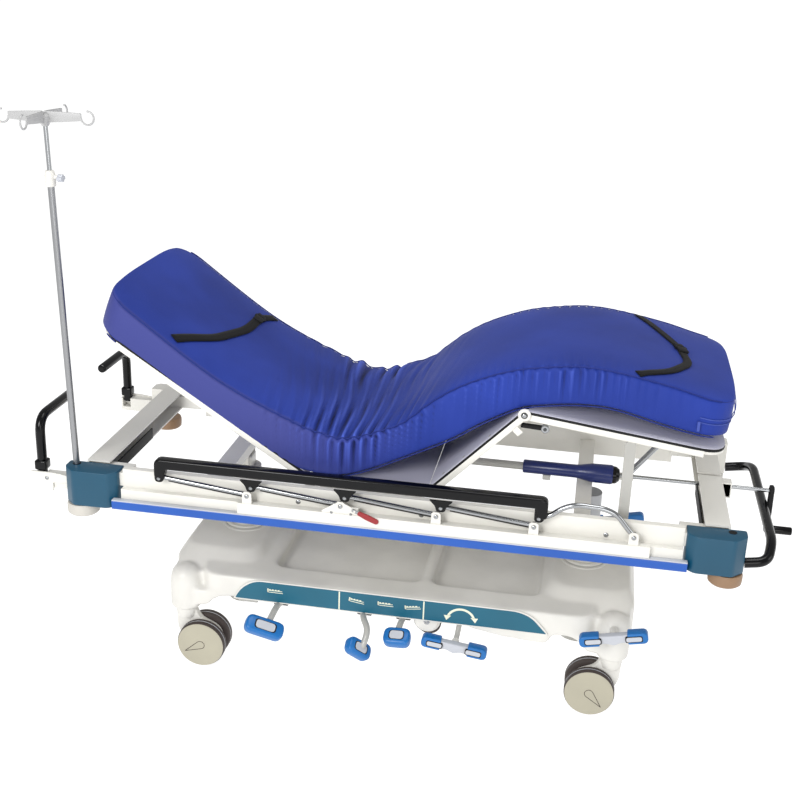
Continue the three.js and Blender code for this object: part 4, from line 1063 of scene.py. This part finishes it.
def smooth_stations():
    """Evenly spaced stations along the mattress, by a Catmull-Rom curve."""
    stations = [Vector(s) for s in MATTRESS_STATIONS]
    padded = [stations[0] * 2 - stations[1]] + stations + [stations[-1] * 2 - stations[-2]]
    fine = []
    for i in range(1, len(padded) - 2):
        a, b, c, d = padded[i - 1:i + 3]
        for step in range(24):
            t = step / 24
            fine.append(0.5 * (b * 2 + (c - a) * t + (a * 2 - b * 5 + c * 4 - d) * t * t
                               + (b * 3 - a - c * 3 + d) * t ** 3))
    fine.append(stations[-1])
    travelled = [0.0]
    for first, second in zip(fine, fine[1:]):
        travelled.append(travelled[-1] + (second - first).length)
    spaced = []
    k = 0
    for i in range(COLUMNS + 1):
        goal = travelled[-1] * i / COLUMNS
        while k < len(fine) - 2 and travelled[k + 1] < goal:
            k += 1
        t = (goal - travelled[k]) / (travelled[k + 1] - travelled[k])
        spaced.append(fine[k].lerp(fine[k + 1], t))
    return spaced


def section_ring():
    """Around the mattress: (side position, height share) pairs, from the bottom's near edge."""
    ring = []
    for i in range(BOTTOM_STEPS):
        ring.append((-1 + 2 * i / BOTTOM_STEPS, 0.0))
    for i in range(SIDE_STEPS):
        ring.append((1.0, i / SIDE_STEPS))
    for i in range(TOP_STEPS):
        ring.append((1 - 2 * i / TOP_STEPS, 1.0))
    for i in range(SIDE_STEPS):
        ring.append((-1.0, 1 - i / SIDE_STEPS))
    return ring


def mattress_mesh():
    stations = smooth_stations()
    ring = section_ring()
    made = bmesh.new()
    rows = []
    last = len(stations) - 1
    for i, station in enumerate(stations):
        bottom = Vector((station[0], 0, station[1]))
        top = Vector((station[2], 0, station[3]))
        rise = top - bottom
        from_end = min(i, last - i) * COLUMN_PITCH
        inset = 0.0
        if from_end < MATTRESS_CORNER:
            shortfall = MATTRESS_CORNER - from_end
            inset = MATTRESS_CORNER - math.sqrt(MATTRESS_CORNER ** 2 - shortfall ** 2)
        near = MATTRESS_HALF_WIDTH - 16 * min(1, max(0, (station[0] + 100) / 400)) - inset
        far = MATTRESS_HALF_WIDTH - inset
        row = []
        for across, height in ring:
            bulge = 7 * math.sin(math.pi * height) if abs(across) == 1 else 0
            crown = 14 * (1 - across ** 4) if height == 1 else 0
            spot = bottom + rise * height + rise.normalized() * crown
            spot.y = across * (near if across < 0 else far) + math.copysign(bulge, across)
            row.append(made.verts.new(spot))
        rows.append(row)
    for first, second in zip(rows, rows[1:]):
        join_rings(made, first, second)
    for row, inner in ((rows[0], rows[1]), (rows[-1], rows[-2])):
        outward = row[0].co - inner[0].co
        close_end(made, row, outward.normalized())
    made.verts.index_update()
    return made, rows


def close_end(made, row, outward):
    """A softly domed end from shrinking rings."""
    middle = sum((v.co for v in row), Vector()) / len(row)
    previous = row
    count = len(row)
    for share, push in ((0.94, 7), (0.84, 14), (0.6, 19), (0.3, 21)):
        ring = [made.verts.new(middle + (v.co - middle) * share + outward * push) for v in row]
        join_rings(made, previous, ring)
        previous = ring
    tip = made.verts.new(middle + outward * 22)
    for k in range(count):
        made.faces.new((previous[k], previous[(k + 1) % count], tip))


def simulate_cover(thing, pin_weights):
    """Lets the cover settle as cloth around its foam, then keeps the settled shape."""
    group = thing.vertex_groups.new(name="pin")
    for index, weight in pin_weights:
        group.add([index], weight, "REPLACE")
    settle = thing.modifiers.new("settle", "CLOTH")
    settings = settle.settings
    settings.quality = 6
    settings.mass = 0.3
    settings.tension_stiffness = 25
    settings.compression_stiffness = 12
    settings.shear_stiffness = 8
    settings.bending_stiffness = 0.4
    settings.vertex_group_mass = "pin"
    settings.pin_stiffness = 4.0
    settings.shrink_min = 0.0
    settings.use_pressure = True
    settings.uniform_pressure_force = 6.0
    settings.effector_weights.gravity = 0.1
    settle.point_cache.frame_start = 1
    settle.point_cache.frame_end = 14
    for number in range(1, 15):
        bpy.context.scene.frame_set(number)
    evaluated(thing)
    bpy.context.scene.frame_set(1)


def puff(turn):
    """Rounded crests with a sharp valley between them."""
    return abs(math.sin(turn)) - 0.64


def fold_depth(x, across, top):
    """How far the cover stands out, as a share, in the gathers and folds of its bends."""
    drift = noise.noise(Vector((x / 70, across * 1.2, 3.0)))
    if top:
        bend = math.exp(-((x + 160) / 165) ** 2) * (0.45 + 0.55 * abs(across)) * (1 + drift)
        knee = math.exp(-((x - 400) / 260) ** 2) * abs(across) ** 8 * 0.5
        fan = (x + 150) * (1 - 0.25 * across) + 7 * math.sin(across * 3.0) + 12 * drift
        fold = puff(fan / 13) + 0.45 * puff(fan / 7.0 + across * 3 + 1)
        return bend * fold + knee * puff(x / 9 + math.sin(x / 40))
    seat = math.exp(-((x + 150) / 200) ** 2)
    knee = math.exp(-((x - 400) / 270) ** 2)
    pleat = puff(x / 8.4 + 1.7 * math.sin(x / 47) + 2 * drift) + 0.4 * puff(x / 5.1 + 1)
    return (seat + 0.7 * knee) * pleat * (1 + 0.8 * drift)


def add_folds(thing, info):
    """Adds the gathers along the seams and the folds across the seat bend, and stores their depth."""
    depths = thing.data.attributes.new("fold", "FLOAT", "POINT")
    normals = [v.normal.copy() for v in thing.data.vertices]
    for vertex, normal in zip(thing.data.vertices, normals):
        x, across, height = info[vertex.index]
        if height is None or height == 0:
            continue
        depth = fold_depth(x, across, height == 1)
        if height < 1:
            depth *= 0.25 + 0.75 * height
        depths.data[vertex.index].value = depth
        vertex.co += normal * depth * 0.015


def mark_cover(thing, info):
    """Stores how much painted side light each spot gets and how far it lies from the nearest long seam."""
    violet = thing.data.attributes.new("violet", "FLOAT", "POINT")
    seam = thing.data.attributes.new("seam", "FLOAT", "POINT")
    for index, (x, across, height) in info.items():
        if height is None:
            seam.data[index].value = 40.0
            continue
        on_side = abs(across) == 1 and height > 0
        # Painted light on the sides: full towards the head, fading out by x = 60 mm.
        violet.data[index].value = max(0.0, min(1.0, (60 - x) / 420)) if on_side else 0.0
        along_side = min(height, 1 - height) * MATTRESS_THICKNESS
        seam.data[index].value = along_side + (1 - abs(across)) * MATTRESS_HALF_WIDTH


def seam_lines(thing, rows, ring):
    """Where the piping runs: both top seams and both bottom seams."""
    corners = [k for k, (across, height) in enumerate(ring) if abs(across) == 1 and height in (0.0, 1.0)]
    return [[thing.data.vertices[row[k]].co.copy() for row in rows[8:-8]] for k in corners]


def zip_lines(thing, rows, ring):
    """Two parallel lines round the foot end, at about half height."""
    lines = []
    for share in (3, 4):
        near = ring.index((-1.0, share / SIDE_STEPS))
        far = ring.index((1.0, share / SIDE_STEPS))
        spots = thing.data.vertices
        line = [spots[row[near]].co.copy() + Vector((0, -0.002, 0)) for row in rows[-20:]]
        end_near = spots[rows[-1][near]].co
        end_far = spots[rows[-1][far]].co
        for i in range(1, 12):
            turn = math.pi * i / 12
            push = Vector((0.024 * math.sin(turn) ** 0.5, 0, 0))
            line.append(end_near.lerp(end_far, i / 12) + push)
        lines.append(line)
    return lines


def add_zip(lines):
    """The zip's two lines of teeth with a pull on the near side."""
    for i, line in enumerate(lines):
        cord = piece(f"zip_line_{i}", swept(line, circle(0.0014, 8)), zip_blue, Matrix.Identity(4))
        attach(cord, "calf")
    start = lines[0][0]
    pull = block((-4, 4), (-3, 3), (-26, 2), 2)
    place = Matrix.Translation(start + Vector((0, -0.003, 0))) @ METRES
    show("zip_pull", pull, zip_blue, "calf", place)


def smoothed(line):
    """Each spot as the mean of itself and up to two neighbours on each side."""
    means = []
    for i in range(len(line)):
        spots = line[max(0, i - 2):i + 3]
        means.append(sum(spots, Vector()) / len(spots))
    return means


def add_piping(thing, lines):
    """Thin piping sewn into the seams, added to the cover before it is divided."""
    made = bmesh.new()
    made.from_mesh(thing.data)
    for line in lines:
        cord = swept(smoothed(line), circle(0.002, 8))
        spare = bpy.data.meshes.new("spare")
        cord.to_mesh(spare)
        cord.free()
        made.from_mesh(spare)
        bpy.data.meshes.remove(spare)
    for face in made.faces:
        face.smooth = True
    made.to_mesh(thing.data)
    made.free()


def make_mattress():
    made, rows = mattress_mesh()
    ring = section_ring()
    info = {}
    pins = []
    for row in rows:
        for (across, height), vertex in zip(ring, row):
            info[vertex.index] = (vertex.co.x, across, height)
            if height == 0:
                pins.append((vertex.index, 1.0))
            elif height == 1.0 and abs(across) == 1:
                pins.append((vertex.index, 0.95))
            else:
                pins.append((vertex.index, 0.3))
    numbers = [[vertex.index for vertex in row] for row in rows]
    for vertex in made.verts:
        if vertex.index not in info:
            info[vertex.index] = (vertex.co.x, 0.0, None)
            pins.append((vertex.index, 0.9))
    thing = piece("mattress_whole", made, cover_cloth, sharp=180)
    simulate_cover(thing, pins)
    add_folds(thing, info)
    mark_cover(thing, info)
    seams = seam_lines(thing, numbers, ring)
    teeth = zip_lines(thing, numbers, ring)
    soften = thing.modifiers.new("soften", "SUBSURF")
    soften.levels = 1
    soften.render_levels = 1
    evaluated(thing)
    add_piping(thing, seams)
    add_zip(teeth)
    return split_mattress(thing)


def split_mattress(whole):
    """Three lengths cut in the middle of the seat and of the thigh; each holds one of the deck's bends."""
    up_thigh = Vector((math.cos(THIGH_ANGLE), 0, math.sin(THIGH_ANGLE)))
    cuts = [
        (MM @ Vector((-98, 0, 690)), Vector((1, 0, 0.12))),
        (MM @ Vector((200, 0, 900)), up_thigh),
    ]
    names = ("mattress_head_part", "mattress_middle_part", "mattress_foot_part")
    parts = []
    for number, name in enumerate(names):
        part = bpy.data.objects.new(name, whole.data.copy())
        bpy.context.scene.collection.objects.link(part)
        made = bmesh.new()
        made.from_mesh(part.data)
        for cut, (spot, normal) in enumerate(cuts):
            if cut == number:
                split_off(made, spot, normal, True)
            elif cut == number - 1:
                split_off(made, spot, normal, False)
        made.to_mesh(part.data)
        made.free()
        parts.append(part)
    bpy.data.objects.remove(whole)
    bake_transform(parts[0])
    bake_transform(parts[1])
    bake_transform(parts[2])
    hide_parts("mattress_back")
    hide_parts("mattress_seat", "mattress_thigh")
    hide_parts("mattress_calf")
    return parts


def split_off(made, spot, normal, keep_below):
    geometry = made.verts[:] + made.edges[:] + made.faces[:]
    bmesh.ops.bisect_plane(
        made, geom=geometry, plane_co=spot, plane_no=normal,
        clear_outer=keep_below, clear_inner=not keep_below)


# ---------------------------------------------------------------- straps
def surface_finder(parts):
    made = bmesh.new()
    for part in parts:
        made.from_mesh(part.data)
    tree = BVHTree.FromBMesh(made)
    made.free()
    return tree


def strap(name, tree, points, body, width=25):
    """Webbing laid on the mattress through plan points (x, y) in millimetres."""
    path = rounded_path([(x, y, 0) for x, y in points], 45, 8)
    dense = []
    for first, second in zip(path, path[1:]):
        steps = max(1, int((second - first).length / 12))
        dense += [first.lerp(second, i / steps) for i in range(steps)]
    dense.append(path[-1])
    made = bmesh.new()
    rows = []
    for i, spot in enumerate(dense):
        ahead = dense[min(i + 1, len(dense) - 1)] - dense[max(i - 1, 0)]
        across = Vector((ahead.y, -ahead.x, 0)).normalized() * width / 2
        row = []
        for share in (-1, -0.33, 0.33, 1):
            start = MM @ (spot + across * share + Vector((0, 0, 1500)))
            hit, normal, _, _ = tree.ray_cast(start, Vector((0, 0, -1)))
            if hit is None:
                break
            row.append(hit + normal * (0.0028 if normal.z > 0 else -0.0028))
        if len(row) == 4:
            rows.append([made.verts.new(v) for v in row])
    for first, second in zip(rows, rows[1:]):
        for k in range(3):
            made.faces.new((first[k], first[k + 1], second[k + 1], second[k]))
    ribbon = piece(name, made, webbing, Matrix.Identity(4), 180)
    thick = ribbon.modifiers.new("thick", "SOLIDIFY")
    thick.thickness = 0.002
    thick.offset = 1
    evaluated(ribbon)
    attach(ribbon, body)
    return ribbon


def buckle(name, tree, x, y, heading, body):
    """A side-release buckle lying on the mattress."""
    hit, normal, _, _ = tree.ray_cast(MM @ Vector((x, y, 1500)), Vector((0, 0, -1)))
    ahead = Vector((math.cos(heading), math.sin(heading), 0))
    ahead = (ahead - normal * ahead.dot(normal)).normalized()
    side = normal.cross(ahead)
    turn = Matrix((ahead, side, normal)).transposed().to_4x4()
    turn.translation = hit + normal * 0.006
    place = turn @ METRES
    shapes = [((-30, 4), (-16, 16)), ((6, 28), (-14, 14)), ((-6, 10), (-19, -12)), ((-6, 10), (12, 19))]
    for i, (a, b) in enumerate(shapes):
        show(f"{name}_{i}", block(a, b, (-3, 5), 2.5), black_rubber, body, place)


def make_straps(parts):
    tree = surface_finder(parts)
    back = [(-672, -286), (-600, -130), (-560, 60), (-560, 200), (-535, 288)]
    calf = [(640, -288), (735, -215), (790, -100), (765, 30), (690, 190), (645, 288)]
    strap("strap_back", tree, back, "backrest")
    buckle("buckle_back", tree, -560, 190, math.pi / 2, "backrest")
    strap("strap_calf", tree, calf, "calf")
    buckle("buckle_calf", tree, 768, 15, 1.9, "calf")


# ---------------------------------------------------------------- stage, light and camera
def make_stage():
    material, _, main = shader("floor", (170, 170, 170), 0.9)
    main.inputs["Specular IOR Level"].default_value = 0.0
    main.inputs["Emission Color"].default_value = (1.0, 1.0, 1.0, 1.0)
    main.inputs["Emission Strength"].default_value = 0.9
    made = bmesh.new()
    bmesh.ops.create_grid(made, x_segments=1, y_segments=1, size=120000)
    floor = piece("floor", made, material, MM @ Matrix.Translation((0, 0, -0.5)))
    world = bpy.data.worlds.new("studio")
    world.use_nodes = True
    sky = world.node_tree.nodes["Background"]
    sky.inputs["Color"].default_value = (1.0, 1.0, 1.0, 1.0)
    sky.inputs["Strength"].default_value = 0.46
    bpy.context.scene.world = world


def softbox(name, spot, target, size, power, colour=(1, 1, 1)):
    lamp = bpy.data.lights.new(name, "AREA")
    lamp.shape = "DISK"
    lamp.size = size
    lamp.energy = power
    lamp.color = colour
    thing = bpy.data.objects.new(name, lamp)
    bpy.context.scene.collection.objects.link(thing)
    thing.location = spot
    thing.rotation_euler = (Vector(target) - Vector(spot)).to_track_quat("-Z", "Y").to_euler()


def make_lights():
    softbox("front", (-1.9, -4.6, 3.0), (0, 0, 0.45), 2.0, 165)
    softbox("low", (1.4, -4.6, 1.5), (0, 0, 0.3), 2.0, 34)
    softbox("overhead", (0.6, -0.4, 4.6), (0, 0, 0.7), 2.2, 60)
    softbox("foot", (4.6, -1.0, 2.2), (0.3, 0, 0.7), 2.2, 30)


def make_camera():
    """Stands in front of the near side, a little towards the foot, looking down at the deck."""
    lens = bpy.data.cameras.new("camera")
    lens.sensor_width = 36
    lens.lens = 53.41
    lens.shift_x = -0.025
    lens.clip_end = 400
    camera = bpy.data.objects.new("camera", lens)
    bpy.context.scene.collection.objects.link(camera)
    yaw, pitch, roll = -0.145, 0.357, 0.043
    forward = Vector((math.sin(yaw) * math.cos(pitch), math.cos(yaw) * math.cos(pitch), -math.sin(pitch)))
    right = Vector((math.cos(yaw), -math.sin(yaw), 0))
    down = forward.cross(right)
    tilted_right = right * math.cos(roll) - down * math.sin(roll)
    tilted_down = right * math.sin(roll) + down * math.cos(roll)
    turn = Matrix((tilted_right, -tilted_down, -forward)).transposed().to_4x4()
    turn.translation = MM @ Vector((500.9, -3384, 2099.95))
    camera.matrix_world = turn
    bpy.context.scene.camera = camera


# ---------------------------------------------------------------- everything
make_stage()
make_lights()
make_camera()
finish_node("base_chassis", grey_paint)
finish_node("fifth_wheel", tyre_brown, 3)
make_base_cover()
for end_label in ENDS:
    for side_label in SIDES:
        make_caster(end_label, side_label)
        make_corner(end_label, side_label)
for side_label, side_sign in SIDES.items():
    control_strip(side_sign)
    make_guard(side_label)
make_pump_pedals()
make_rockers()
make_columns()
make_top_frame()
make_deck()
make_mechanisms()
make_handles()
make_pole()
make_straps(make_mattress())
bpy.context.scene.view_settings.view_transform = "Standard"

bpy.context.view_layer.update()
